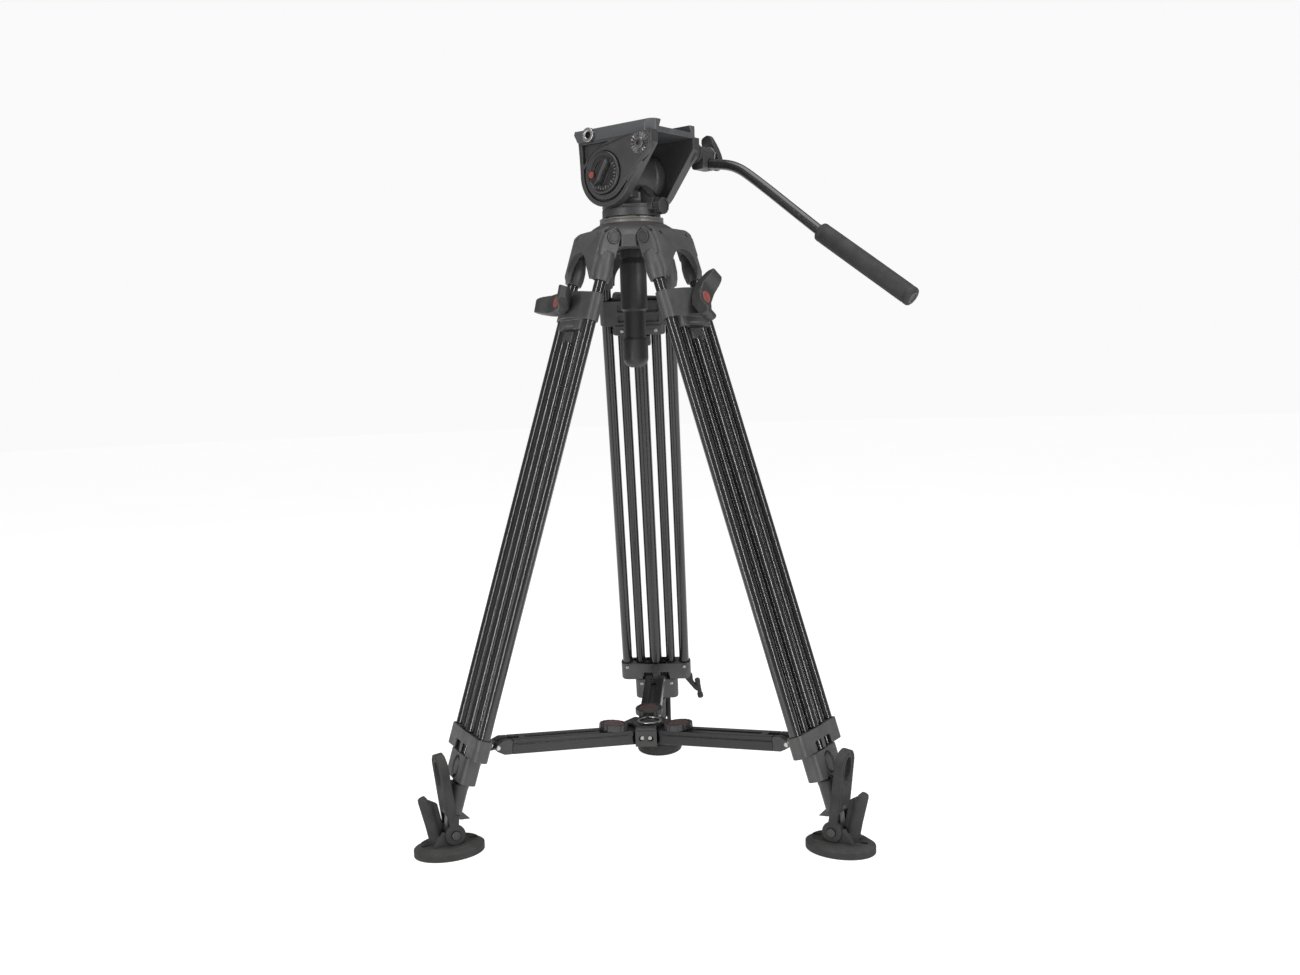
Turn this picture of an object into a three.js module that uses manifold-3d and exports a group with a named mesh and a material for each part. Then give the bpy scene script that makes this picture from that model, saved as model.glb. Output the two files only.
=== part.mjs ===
// Twin-tube video tripod with a fluid head: three folding, telescoping legs on rubber shoes,
// a mid-level spreader, a 75 mm levelling bowl, and a pan-and-tilt head with one pan bar.
// Millimetres, +Z up. The legs stand round the central axis at 90, 210 and 330 degrees.

import * as THREE from 'three';
import { mergeVertices } from 'three/addons/utils/BufferGeometryUtils.js';
import Module from 'manifold-3d';

const wasm = await Module();
wasm.setup();

// ---------------------------------------------------------------- driving dimensions

const GAP = 0.3;                        // running gap between neighbouring pieces
const LEAN = THREE.MathUtils.degToRad(17.65);
const HINGE = { r: 50.7, z: 770 };      // leg hinge axis, from the central axis and the floor
const LUG_HALF = 37.5;                  // half the width of a crown lug, inside the yoke
const LEGS = [
  { name: 'rear', azimuth: 90, knobTurn: 15 },
  { name: 'left', azimuth: 210, knobTurn: 12 },
  { name: 'right', azimuth: 330, knobTurn: 50 },
];

// Stations down a leg, measured from its hinge along the tubes.
const SOCKET_END = 57;
const LOCK_COLLAR = { top: 71, bottom: 111, blockBottom: 122 };
const SLIDER = { top: 124, bottom: 138, half: 15.3 };
const LOWER_COLLAR = { top: 642, bottom: 677.5 };
const MIDDLE_COLLAR = { top: 678, bottom: 712 };
const BARREL = { top: 716, bottom: 757, r: 12.3 };
const KNOB_STATION = -92;
const OUTER_TUBE = { x: 44, r: 7.5 };
const INNER_TUBE = { x: 23.2, r: 7 };
const CENTRE_TUBE_R = 9.6;
const WALL = 1.5;

const ANKLE = { r: 281.5, z: 26.5 };    // shoe pivot axis
const SHOE = { r: 285, long: 45.4, wide: 35, height: 11.5 };
const PEG = { r: 8, height: 66, lean: -13, offset: 15.5 };

const SPREADER = { hubR: 20, hubZ: 109.5, lugR: 219, lugZ: 127.5 };
const ARM = { width: 28, height: 19, wall: 4, channelEnd: 180, knobY: 32 };

const BALL_Z = 801;                     // centre of the levelling ball
const BALL_R = 37;
const CUP = { inner: 42.3, outer: 54.5, hole: 11 };   // cup washer, radii about the same centre
const RIM = { r: 42, bottom: 791, top: 802.5 };

const HEAD_YAW = THREE.MathUtils.degToRad(54.3);
const PAN_BASE = { r: 38, bottom: 803.2, top: 816.5 };
const PAN_LOCK = { z: 812 };
const TILT_Z = 854.5;
const CARTRIDGE_R = 30;
const CHEEK = { inner: 36, outer: 50, r: 42.5 };
const PLATFORM = { front: 54, rear: -77, bottom: 899.7, top: 913.6 };
const CHANNEL = { half: 30, draft: 0.5, floor: 904.7 };   // the camera plate slides in here
const ROSETTE = { y: -60, z: 884 };
const SOCKET = { y: 23, z: 904.5 };     // accessory socket on the left cheek
const BAR = { x: 83, r: 6.7, gripR: 12.2 };
const CLAMP = { x0: CHEEK.outer + 8.3, x1: BAR.x + 10, r: 11, flangeR: 13, studR: 4 };

// ---------------------------------------------------------------- finishes

const finish = (color, roughness, metalness) =>
  new THREE.MeshStandardMaterial({ color, roughness, metalness });
const castGrey = finish(0x3a3b3c, 0.55, 0.2);
const anodised = finish(0x1c1c1d, 0.3, 0.8);
const plastic = finish(0x2b2c2d, 0.6, 0);
const rubber = finish(0x2f2f30, 0.85, 0);
const steel = finish(0xc8c6c0, 0.25, 1);

// ---------------------------------------------------------------- geometry helpers

// A closed geometry as a solid: shared corners merged, flat slivers dropped, faces outward.
function solid(geometry) {
  const plain = geometry.clone();
  plain.deleteAttribute('normal');
  plain.deleteAttribute('uv');
  const merged = mergeVertices(plain, 1e-4);
  const index = merged.index.array;
  const kept = [];
  for (let i = 0; i < index.length; i += 3) {
    const [a, b, c] = [index[i], index[i + 1], index[i + 2]];
    if (a !== b && b !== c && c !== a) kept.push(a, b, c);
  }
  const mesh = new wasm.Mesh({
    numProp: 3,
    vertProperties: new Float32Array(merged.attributes.position.array),
    triVerts: new Uint32Array(kept),
  });
  return new wasm.Manifold(mesh);
}

function geometryOf(body) {
  const mesh = body.getMesh();
  const geometry = new THREE.BufferGeometry();
  geometry.setAttribute('position', new THREE.BufferAttribute(mesh.vertProperties, 3));
  geometry.setIndex(new THREE.BufferAttribute(mesh.triVerts, 1));
  geometry.computeVertexNormals();
  return geometry;
}

const join = (...bodies) => bodies.reduce((all, body) => all.add(body));
const cut = (body, ...tools) => tools.reduce((rest, tool) => rest.subtract(tool), body);

const box = (x, y, z) => solid(new THREE.BoxGeometry(
  x[1] - x[0], y[1] - y[0], z[1] - z[0],
).translate((x[0] + x[1]) / 2, (y[0] + y[1]) / 2, (z[0] + z[1]) / 2));

// A cylinder along Z, or along X or Y, between two stations.
const rodZ = (r, z0, z1, x = 0, y = 0, sides = 12) => solid(
  new THREE.CylinderGeometry(r, r, z1 - z0, sides).rotateX(Math.PI / 2).translate(x, y, (z0 + z1) / 2),
);
const rodX = (r, x0, x1, y = 0, z = 0, sides = 12) => solid(
  new THREE.CylinderGeometry(r, r, x1 - x0, sides).rotateZ(Math.PI / 2).translate((x0 + x1) / 2, y, z),
);
const rodY = (r, y0, y1, x = 0, z = 0, sides = 12) => solid(
  new THREE.CylinderGeometry(r, r, y1 - y0, sides).translate(x, (y0 + y1) / 2, z),
);

// A body of revolution about Z from (radius, height) points, listed from bottom to top.
const turned = (profile, sides = 24) => solid(
  new THREE.LatheGeometry(profile.map(([r, z]) => new THREE.Vector2(r, z)), sides).rotateX(Math.PI / 2),
);

// An outline in (y, z), extruded along X from x0 to x1.
function slabX(outline, x0, x1) {
  const shape = outline instanceof THREE.Shape
    ? outline
    : new THREE.Shape(outline.map(([y, z]) => new THREE.Vector2(y, z)));
  const geometry = new THREE.ExtrudeGeometry(shape, {
    depth: x1 - x0, bevelEnabled: false, curveSegments: 6,
  });
  const toYZ = new THREE.Matrix4().makeBasis(
    new THREE.Vector3(0, 1, 0), new THREE.Vector3(0, 0, 1), new THREE.Vector3(1, 0, 0),
  );
  return solid(geometry.applyMatrix4(toYZ).translate(x0, 0, 0));
}

// An outline in (x, y), extruded along Z from z0 to z1.
function slabZ(shape, z0, z1, bevel = 0, curveSegments = 2) {
  const geometry = new THREE.ExtrudeGeometry(shape, {
    depth: z1 - z0 - 2 * bevel,
    bevelEnabled: bevel > 0,
    bevelSize: bevel,
    bevelThickness: bevel,
    bevelOffset: -bevel,
    bevelSegments: 1,
    curveSegments,
  });
  return solid(geometry.translate(0, 0, z0 + bevel));
}

// A rectangle with rounded corners, centred on the origin of (x, y).
function roundedRect(width, depth, r) {
  const [w, d] = [width / 2, depth / 2];
  const shape = new THREE.Shape();
  shape.moveTo(-w + r, -d);
  shape.lineTo(w - r, -d);
  shape.absarc(w - r, -d + r, r, -Math.PI / 2, 0);
  shape.lineTo(w, d - r);
  shape.absarc(w - r, d - r, r, 0, Math.PI / 2);
  shape.lineTo(-w + r, d);
  shape.absarc(-w + r, d - r, r, Math.PI / 2, Math.PI);
  shape.lineTo(-w, -d + r);
  shape.absarc(-w + r, -d + r, r, Math.PI, 1.5 * Math.PI);
  return shape;
}

const tripod = new THREE.Group();

function piece(name, body, material, parent) {
  const mesh = new THREE.Mesh(geometryOf(body), material);
  mesh.name = name;
  parent.add(mesh);
  return mesh;
}

// ---------------------------------------------------------------- crown and levelling bowl

// Points along the lower half of a ball centred at BALL_Z, from one radius to another.
function ballPoints(radius, r0, r1, steps) {
  return Array.from({ length: steps + 1 }, (_, i) => {
    const r = r0 + (r1 - r0) * i / steps;
    return [r, BALL_Z - Math.sqrt(radius * radius - r * r)];
  });
}

function crown() {
  const seat = BALL_R + 0.8;
  const shell = 4;
  const bowl = turned([
    ...ballPoints(seat + shell, 18, 33, 2),
    [RIM.r - 1, RIM.bottom],
    [RIM.r, RIM.bottom + 1.5],
    [RIM.r, RIM.top - 1],
    [RIM.r - 1, RIM.top],
    [39, RIM.top],
    [39, RIM.top - 5],
    ...ballPoints(seat, 18, 37.2, 3).reverse(),
    [18, BALL_Z - Math.sqrt((seat + shell) ** 2 - 18 ** 2)],
  ], 28);
  const shoulder = turned([
    [0, 740],
    [70, 740],
    [66, 772],
    [58, 782],
    [50, 788],
    [40, 794],
    [0, 794],
  ], 28);
  const lugs = LEGS.map(({ azimuth }) => cut(
    join(
      rodX(11.5, -LUG_HALF, LUG_HALF, HINGE.r, HINGE.z),
      box([-LUG_HALF, LUG_HALF], [22, HINGE.r], [758.6, 794]),
    ),
    rodX(5 + GAP, -40, 40, HINGE.r, HINGE.z),
  ).rotate([0, 0, azimuth - 90]));
  const faces = LEGS.map(({ azimuth }) => slabZ(new THREE.Shape([
    new THREE.Vector2(-16, 30),
    new THREE.Vector2(16, 30),
    new THREE.Vector2(18.4, 48),
    new THREE.Vector2(9.2, 63.9),
    new THREE.Vector2(-9.2, 63.9),
    new THREE.Vector2(-18.4, 48),
  ]), 758.6, 794).rotate([0, 0, azimuth + 90]));
  const ballRoom = turned([
    [0, BALL_Z - seat - 2],
    ...ballPoints(seat + 2, 10, 36, 4),
    [38.5, 796],
    [0, 796],
  ]);
  const body = cut(join(...lugs, ...faces).intersect(shoulder), ballRoom, rodZ(19.5, 740, 790));
  return join(bowl, body);
}
piece('crown', crown(), castGrey, tripod);

function halfBall() {
  const body = turned([
    [0, BALL_Z - BALL_R + 0.3],
    ...ballPoints(BALL_R, 9, 36.5, 4),
    [36.5, PAN_BASE.bottom - GAP],
    [0, PAN_BASE.bottom - GAP],
  ], 28);
  return cut(body, rodZ(10, BALL_Z - 6, BALL_Z - 1.4), rodZ(7, 700, BALL_Z - 3));
}
piece('half_ball', halfBall(), castGrey, tripod);

// Cup washer under the bowl. Both its faces are parts of balls about the levelling centre.
function tieDownCup() {
  return turned([
    ...ballPoints(CUP.outer, CUP.hole, 17, 2),
    ...ballPoints(CUP.inner, CUP.hole, 17, 2).reverse(),
    [CUP.hole, BALL_Z - Math.sqrt(CUP.outer ** 2 - CUP.hole ** 2)],
  ]);
}
piece('tie_down_cup', tieDownCup(), plastic, tripod);
piece('tie_down_bolt', join(
  rodZ(4.9, 720, BALL_Z - 3),
  rodZ(8.8, BALL_Z - 5, BALL_Z - 2.4, 0, 0, 6),
), steel, tripod);
piece('tie_down_handle', cut(turned([
  [0, 606],
  [9, 607],
  [14, 610.5],
  [16.6, 616],
  [16.8, 643.5],
  [14.6, 645],
  [14.6, 680],
  [17.6, 682],
  [17.6, 746],
  ...ballPoints(CUP.outer + GAP, 0, 16, 2).reverse(),
], 20), rodZ(4.9 + GAP, 719, 750)), plastic, tripod);

// ---------------------------------------------------------------- one leg

// In a leg's own frame the hinge axis is X, +Y points outward and -Z runs down the tubes.
function legFrame({ azimuth }) {
  const spin = new THREE.Group();
  spin.rotation.z = THREE.MathUtils.degToRad(azimuth - 90);
  const lean = new THREE.Group();
  lean.position.set(0, HINGE.r, HINGE.z);
  lean.rotation.x = LEAN;
  spin.add(lean);
  tripod.add(spin);
  return { spin, lean };
}

const tube = (r, top, bottom, x) => cut(
  rodZ(r, -bottom, -top, x),
  rodZ(r - WALL, -bottom - 1, -top + 1, x, 0, 8),
);

// Fork casting: a shell over the crown's lug, two bosses on the hinge pin, two tube sockets.
function yoke() {
  const outer = LUG_HALF + 13;
  const shell = slabX([
    [4.9, 11.3], [8.7, 8.7], [11.4, 4.6], [12.3, 0], [12.5, -12], [11, -46],
    [22, -46], [22.2, -30], [21.3, -20], [18.9, -9], [16.4, 2.3], [12.4, 9.6], [6.3, 14.3],
  ], -outer, outer);
  const arms = [-1, 1].flatMap((side) => {
    const span = [LUG_HALF + 0.5, outer].map((x) => side * x).sort((a, b) => a - b);
    return [
      rodX(10, ...span),
      slabX([[-10, 0], [-10, -50], [14, -50], [14, -12], [12.3, 0], [9, 6]], ...span),
      rodZ(11.8, -SOCKET_END, -24, side * OUTER_TUBE.x),
    ];
  });
  const arch = join(
    rodY(31.5, -30, 40, 0, -53, 24),
    box([-31.5, 31.5], [-30, 40], [-80, -53]),
  );
  const bores = [-1, 1].map((side) => rodZ(OUTER_TUBE.r + GAP, -80, -32, side * OUTER_TUBE.x));
  return cut(join(shell, ...arms), arch, rodX(5 + GAP, -60, 60), ...bores);
}

function hingePin() {
  const outer = LUG_HALF + 13;
  return join(
    rodX(5, -outer - 1, outer + 1),
    rodX(8.2, outer + GAP, outer + 2.3),
    rodX(8.2, -outer - 2.3, -outer - GAP),
  );
}

// Lower collar, the two outer tubes screwed into it and the lug for the spreader arm.
function outerStage() {
  const { top, bottom } = LOWER_COLLAR;
  const collar = slabZ(roundedRect(112, 23, 9), -bottom, -top);
  const tubes = [-1, 1].map((side) => tube(OUTER_TUBE.r, 33, top + 8, side * OUTER_TUBE.x));
  const wells = [
    ...[-1, 1].map((side) => rodZ(OUTER_TUBE.r - WALL, -top - 8, -top + 1, side * OUTER_TUBE.x, 0, 8)),
    ...[-1, 1].map((side) => rodZ(INNER_TUBE.r + GAP, -bottom - 1, -top + 1, side * INNER_TUBE.x)),
    rodZ(CENTRE_TUBE_R + GAP, -bottom - 1, -top + 1),
    box([-SLIDER.half - 0.5, SLIDER.half + 0.5], [-8.9, 8.9], [-bottom - 1, -top + 1]),
  ];
  const windows = [-1, 1].map((side) => box(
    side > 0 ? [5, 17] : [-17, -5], [-20, 20], [-bottom - 1, -bottom + 14],
  ));
  return cut(join(collar, ...tubes, spreaderLug()), ...wells, ...windows);
}

// Tongue that reaches inward from the lower collar to the spreader arm's fork.
function spreaderLug() {
  const [dy, dz] = [SPREADER.lugR - HINGE.r, SPREADER.lugZ - HINGE.z];
  const y = dy * Math.cos(LEAN) + dz * Math.sin(LEAN);
  const z = -dy * Math.sin(LEAN) + dz * Math.cos(LEAN);
  return join(
    slabX([[-9.5, -LOWER_COLLAR.bottom], [y, z - 5], [y, z + 5], [-9.5, z + 13]], -4, 4),
    rodX(5, -4, 4, y, z),
  );
}

function lockCollar() {
  const { top, bottom, blockBottom } = LOCK_COLLAR;
  const collar = slabZ(roundedRect(114, 25, 10), -bottom, -top);
  const block = slabZ(roundedRect(72, 21, 6), -blockBottom, -bottom + 1);
  const boss = rodY(15, 10, 19, 0, KNOB_STATION);
  const bores = [-1, 1].flatMap((side) => [
    rodZ(OUTER_TUBE.r + GAP, -blockBottom - 1, -top + 1, side * OUTER_TUBE.x),
    rodZ(INNER_TUBE.r + 0.05, -blockBottom - 1, -bottom - 2, side * INNER_TUBE.x),
  ]);
  const recess = box([-27, 27], [-20, -7], [-bottom + 6, -top - 6]);
  return cut(join(collar, block, boss), ...bores, recess);
}

// Butterfly knob: a round hub with two wings that sweep outward.
function lockKnob(turn) {
  const wing = new THREE.Shape();
  wing.moveTo(4, 21);
  wing.lineTo(20, 23);
  wing.lineTo(33, 33);
  wing.absarc(33, 41, 7, -Math.PI / 2.6, Math.PI * 0.75);
  wing.lineTo(18, 34);
  wing.lineTo(4, 30);
  const half = slabZ(wing, -9, 9);
  return join(rodY(12.5, 19 + GAP, 31), half, half.mirror([1, 0, 0]))
    .rotate([0, turn, 0])
    .translate([0, 0, KNOB_STATION]);
}

// Middle collar with the two inner tubes, which hang from the lock collar's block.
function middleStage() {
  const { top, bottom } = MIDDLE_COLLAR;
  const collar = slabZ(roundedRect(66, 22, 8), -bottom, -top);
  const tubes = [-1, 1].map((side) => tube(
    INNER_TUBE.r, LOCK_COLLAR.bottom + 3, top + 6, side * INNER_TUBE.x,
  ));
  const wells = [-1, 1].map((side) => rodZ(
    INNER_TUBE.r - WALL, -top - 6, -top + 1, side * INNER_TUBE.x, 0, 8,
  ));
  return cut(join(collar, ...tubes), ...wells, rodZ(CENTRE_TUBE_R + GAP, -bottom - 1, -top + 1));
}

// Centre tube with the ribbed slider that runs between the inner tubes.
function centreTube() {
  const slider = slabZ(roundedRect(2 * SLIDER.half, 17, 3), -SLIDER.bottom, -SLIDER.top);
  const body = join(rodZ(CENTRE_TUBE_R, -BARREL.top - 8, -SLIDER.bottom + 2), slider);
  return cut(body, rodZ(CENTRE_TUBE_R - WALL, -BARREL.top - 9, -SLIDER.top + 1, 0, 0, 8));
}

// Foot barrel, with the tongue and the pin that turn in the shoe.
function footBarrel() {
  const { r, top, bottom } = BARREL;
  const barrel = turned([
    [0, -bottom], [r - 2, -bottom], [r, -bottom + 3], [r, -top], [0, -top],
  ], 16);
  const y = (ANKLE.r - HINGE.r) * Math.cos(LEAN) + (ANKLE.z - HINGE.z) * Math.sin(LEAN);
  const z = -(ANKLE.r - HINGE.r) * Math.sin(LEAN) + (ANKLE.z - HINGE.z) * Math.cos(LEAN);
  const tongue = join(
    slabX([[y - 8, z], [y + 8, z], [8, -bottom + 2], [-8, -bottom + 2]], -6.4, 6.4),
    rodX(10, -6.4, 6.4, y, z),
    rodX(4, -20.3, 20.3, y, z),
    rodX(5.5, 19.2 + GAP, 20.8, y, z, 10),
    rodX(5.5, -20.8, -19.2 - GAP, y, z, 10),
  );
  return cut(join(barrel, tongue), rodZ(CENTRE_TUBE_R + 0.05, -top - 8.3, -top + 1));
}

// Strap that hangs from one end of the lower collar and ends in a T.
function transportStrap() {
  const bottom = -LOWER_COLLAR.bottom - GAP;
  const outline = new THREE.Shape([
    new THREE.Vector2(41.5, bottom),
    new THREE.Vector2(60, bottom - 26),
    new THREE.Vector2(65, bottom - 26),
    new THREE.Vector2(57, bottom - 14),
    new THREE.Vector2(55.5, bottom),
  ]);
  const strap = solid(new THREE.ExtrudeGeometry(outline, { depth: 5, bevelEnabled: false })
    .rotateX(Math.PI / 2)
    .translate(0, 2.5, 0));
  const bar = rodZ(3, -16, 16, 0, 0, 10).rotate([0, -8, 0]).translate([65, 0, bottom - 24]);
  return join(strap, bar);
}

// ---------------------------------------------------------------- shoe

// The shoe lies flat, so it is made in a frame that only turns with the leg's azimuth.
function shoeBase() {
  const { r, long, wide, height } = SHOE;
  const outline = new THREE.Shape();
  outline.absellipse(0, r, wide, long, 0, 2 * Math.PI);
  const inner = new THREE.Shape();
  inner.absellipse(0, r, wide - 6, long - 6, 0, 2 * Math.PI);
  const ears = [-1, 1].flatMap((side) => {
    const [x0, x1] = side > 0 ? [6.8, 12.8] : [-12.8, -6.8];
    return [
      rodX(10, x0, x1, ANKLE.r, ANKLE.z),
      slabX([[r - 18, height], [r + 14, height], [ANKLE.r + 9, ANKLE.z], [ANKLE.r - 9, ANKLE.z]], x0, x1),
    ];
  });
  const slots = [-1, 1].map((side) => slabZ(roundedRect(7, 15, 3.4), -1, height + 4)
    .translate([0, r + side * 31, 0]));
  const peg = rodZ(PEG.r, 0, PEG.height)
    .rotate([PEG.lean, 0, 0])
    .translate([0, r + PEG.offset, height]);
  const web = slabX([
    [r + 8, height], [r + 17, height], [r + 28, 74], [r + 14, PEG.height], [r + 9, 42],
  ], -3.5, 3.5);
  const disc = slabZ(outline, 0, height, 1.6, 10);
  const step = slabZ(inner, height - 1, height + 2, 0, 8);
  return cut(join(disc, step, ...ears, peg, web), rodX(4.5, -40, 40, ANKLE.r, ANKLE.z), ...slots);
}

// Rubber strap with an eye: it stands astride the foot barrel, on the ankle pin.
function shoeStrap() {
  const [inner, outer] = [13.2, 19.2];
  const shape = new THREE.Shape();
  shape.moveTo(-outer, ANKLE.z);
  shape.lineTo(-inner, ANKLE.z);
  shape.lineTo(-inner, 72);
  shape.absarc(0, 72, inner, Math.PI, 0, true);
  shape.lineTo(inner, ANKLE.z);
  shape.lineTo(outer, ANKLE.z);
  shape.lineTo(18, 113);
  shape.absarc(0, 113, 18, 0, Math.PI);
  const eye = new THREE.Path();
  eye.absellipse(0, 105, 7.5, 14, 0, 2 * Math.PI);
  shape.holes.push(eye);
  const plate = solid(new THREE.ExtrudeGeometry(shape, { depth: 11, bevelEnabled: false, curveSegments: 4 })
    .rotateX(Math.PI / 2)
    .translate(0, 5.5, -ANKLE.z))
    .rotate([-7, 0, 0])
    .translate([0, ANKLE.r, ANKLE.z]);
  const bosses = [-1, 1].map((side) => rodX(
    13, side > 0 ? inner : -outer, side > 0 ? outer : -inner, ANKLE.r, ANKLE.z,
  ));
  return cut(join(plate, ...bosses), rodX(4.5, -40, 40, ANKLE.r, ANKLE.z));
}

for (const leg of LEGS) {
  const { spin, lean } = legFrame(leg);
  const named = (part) => `${leg.name}_${part}`;
  piece(named('hinge_pin'), hingePin(), castGrey, lean);
  piece(named('yoke'), yoke(), castGrey, lean);
  piece(named('outer_stage'), outerStage(), anodised, lean);
  piece(named('lock_collar'), lockCollar(), castGrey, lean);
  piece(named('lock_knob'), lockKnob(leg.knobTurn), plastic, lean);
  piece(named('middle_stage'), middleStage(), anodised, lean);
  piece(named('centre_tube'), centreTube(), anodised, lean);
  piece(named('foot_barrel'), footBarrel(), plastic, lean);
  piece(named('shoe_base'), shoeBase(), rubber, spin);
  piece(named('shoe_strap'), shoeStrap(), rubber, spin);
  if (leg.name === 'rear') piece('transport_strap', transportStrap(), rubber, lean);
}

// ---------------------------------------------------------------- mid-level spreader

const spreaderArm = (() => {
  const [dy, dz] = [SPREADER.lugR - SPREADER.hubR, SPREADER.lugZ - SPREADER.hubZ];
  return { length: Math.hypot(dy, dz), rise: Math.atan2(dz, dy) };
})();

// In an arm's own frame +Y runs from the hub pivot to the leg pivot.
function armChannel() {
  const [w, h] = [ARM.width / 2, ARM.height / 2];
  const body = join(
    rodX(h, -w, w),
    box([-w, w], [0, ARM.channelEnd], [-h, h]),
    rodX(3, -w - 4.5, w + 4.5, 0, 0, 12),
  );
  const bay = box([-w + ARM.wall, w - ARM.wall], [40, ARM.channelEnd + 1], [-h + 3.5, h - 3.5]);
  const slot = box([-3.2, 3.2], [54, 159], [0, h + 1]);
  const mouth = box([-4.7, 4.7], [168, ARM.channelEnd + 1], [-h - 1, h + 1]);
  return cut(body, bay, slot, mouth, rodZ(3.2, 0, h + 1, 0, ARM.knobY, 12));
}

// Sliding end of an arm: a bar inside the channel and a fork that straddles the leg's lug.
function armEnd() {
  const [w, h] = [ARM.width / 2, ARM.height / 2];
  const { length } = spreaderArm;
  const side = w - ARM.wall - GAP;
  const bar = box([-side, side], [44, ARM.channelEnd + 3], [-h + 3.8, h - 3.8]);
  const block = slabX([
    [ARM.channelEnd + GAP, -h], [length - 9, -h], [length + 1, -5], [length + 5, 0],
    [length + 1, 5], [length - 8, h], [ARM.channelEnd + GAP, h],
  ], -w, w);
  const fork = box([-4.7, 4.7], [166, length + 9], [-h - 1, h + 1]);
  return cut(join(bar, block), fork);
}

// A knurled disc standing on a plane, as a slab along Z.
function knurled(r, z0, z1, flutes) {
  return slabZ(new THREE.Shape(Array.from({ length: flutes * 2 }, (_, i) => {
    const radius = i % 2 ? r - 0.9 : r;
    const angle = Math.PI * i / flutes;
    return new THREE.Vector2(radius * Math.cos(angle), radius * Math.sin(angle));
  })), z0, z1);
}

// Clamping knob: knurled rim, shallow dished face and a short screw into the channel.
function armKnob() {
  const h = ARM.height / 2;
  const body = join(knurled(19.2, h + GAP, h + 9, 14), rodZ(2.8, 2, h + 2, 0, 0, 10));
  return cut(body, rodZ(11.5, h + 8, h + 12)).translate([0, ARM.knobY, 0]);
}

function spreaderHub() {
  const { hubZ, hubR } = SPREADER;
  const top = hubZ + ARM.height / 2 + 1.3;
  const near = (ARM.width / 2 + GAP) / Math.sin(Math.PI / 3);
  const wedges = LEGS.map(({ azimuth }) => slabZ(new THREE.Shape([
    new THREE.Vector2(0, near),
    new THREE.Vector2(-13.5, 25),
    new THREE.Vector2(-13.5, 29),
    new THREE.Vector2(13.5, 29),
    new THREE.Vector2(13.5, 25),
  ]), hubZ - 11, top + 1).rotate([0, 0, azimuth + 90]));
  const plate = join(...LEGS.map(({ azimuth }) => slabZ(new THREE.Shape([
    new THREE.Vector2(-9, 0),
    new THREE.Vector2(9, 0),
    new THREE.Vector2(14.5, 24),
    new THREE.Vector2(14, 30),
    new THREE.Vector2(-14, 30),
    new THREE.Vector2(-14.5, 24),
  ]), top, top + 4).rotate([0, 0, azimuth + 90])), rodZ(19, top, top + 4));
  const staple = cut(box([-3, 3], [12, 20], [top + 3, top + 8.5]), rodX(1.9, -4, 4, 16, top + 5.6, 8));
  const bores = LEGS.map(({ azimuth }) => rodX(3 + GAP, -30, 30, hubR, hubZ, 12)
    .rotate([0, 0, azimuth - 90]));
  return cut(join(plate, ...wedges, staple), ...bores);
}
piece('spreader_hub', spreaderHub(), plastic, tripod);

const RING = { r: 14.6, wire: 1.25, y: 16, z: SPREADER.hubZ + ARM.height / 2 + 6.9 };
const ring = new THREE.TorusGeometry(RING.r, RING.wire, 6, 20).translate(0, RING.y - RING.r, RING.z);
piece('carrying_ring', solid(ring), steel, tripod);

for (const leg of LEGS) {
  const spin = new THREE.Group();
  spin.rotation.z = THREE.MathUtils.degToRad(leg.azimuth - 90);
  const arm = new THREE.Group();
  arm.position.set(0, SPREADER.hubR, SPREADER.hubZ);
  arm.rotation.x = spreaderArm.rise;
  spin.add(arm);
  tripod.add(spin);
  piece(`${leg.name}_arm_channel`, armChannel(), anodised, arm);
  piece(`${leg.name}_arm_end`, armEnd(), plastic, arm);
  piece(`${leg.name}_arm_knob`, armKnob(), plastic, arm);
}

// ---------------------------------------------------------------- fluid head

// In the head's own frame +Y is forward (towards the subject) and +X is the pan bar's side.
const head = new THREE.Group();
head.rotation.z = HEAD_YAW;
tripod.add(head);

// Turntable and housing: a round base, a neck, and a saddle that holds the tilt cartridge.
function panBase() {
  const { r, bottom, top } = PAN_BASE;
  const turntable = turned([
    [0, bottom], [r, bottom], [r + 0.4, bottom + 1.5], [r, top - 1], [r - 1.5, top], [27, top + 1],
    [25.5, top + 14], [0, top + 14],
  ], 36);
  const saddle = box([-30, 30], [-22, 22], [top + 8, TILT_Z - 12]);
  const boss = cut(rodY(12, -44, -20, 0, PAN_LOCK.z), box([-20, 20], [-60, 0], [700, 807.2]));
  const cheekRoom = [-1, 1].map((side) => box(
    side > 0 ? [CHEEK.inner - 0.5, 60] : [-60, -CHEEK.inner + 0.5], [-60, 60], [TILT_Z - CHEEK.r - 0.8, 900],
  ));
  return cut(
    join(turntable, saddle, boss),
    rodX(CARTRIDGE_R + 0.4, -40, 40, 0, TILT_Z, 32),
    rodY(4 + GAP, -60, -30, 0, PAN_LOCK.z, 12),
    ...cheekRoom,
  );
}
piece('pan_base', panBase(), castGrey, head);

piece('pan_lock_knob', join(
  knurled(10.8, 0, 11, 12).rotate([90, 0, 0]).translate([0, -44 - GAP, 0]),
  rodY(4, -46, -32, 0, 0, 12),
).translate([0, 0, PAN_LOCK.z]), plastic, head);

// The damping cartridge lies across the head and carries the cradle on its two journals.
piece('tilt_cartridge', join(
  rodX(CARTRIDGE_R, -CHEEK.inner + GAP, CHEEK.inner - GAP, 0, TILT_Z, 32),
  rodX(20, -CHEEK.outer + 2, CHEEK.outer - 2, 0, TILT_Z, 24),
), castGrey, head);

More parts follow.
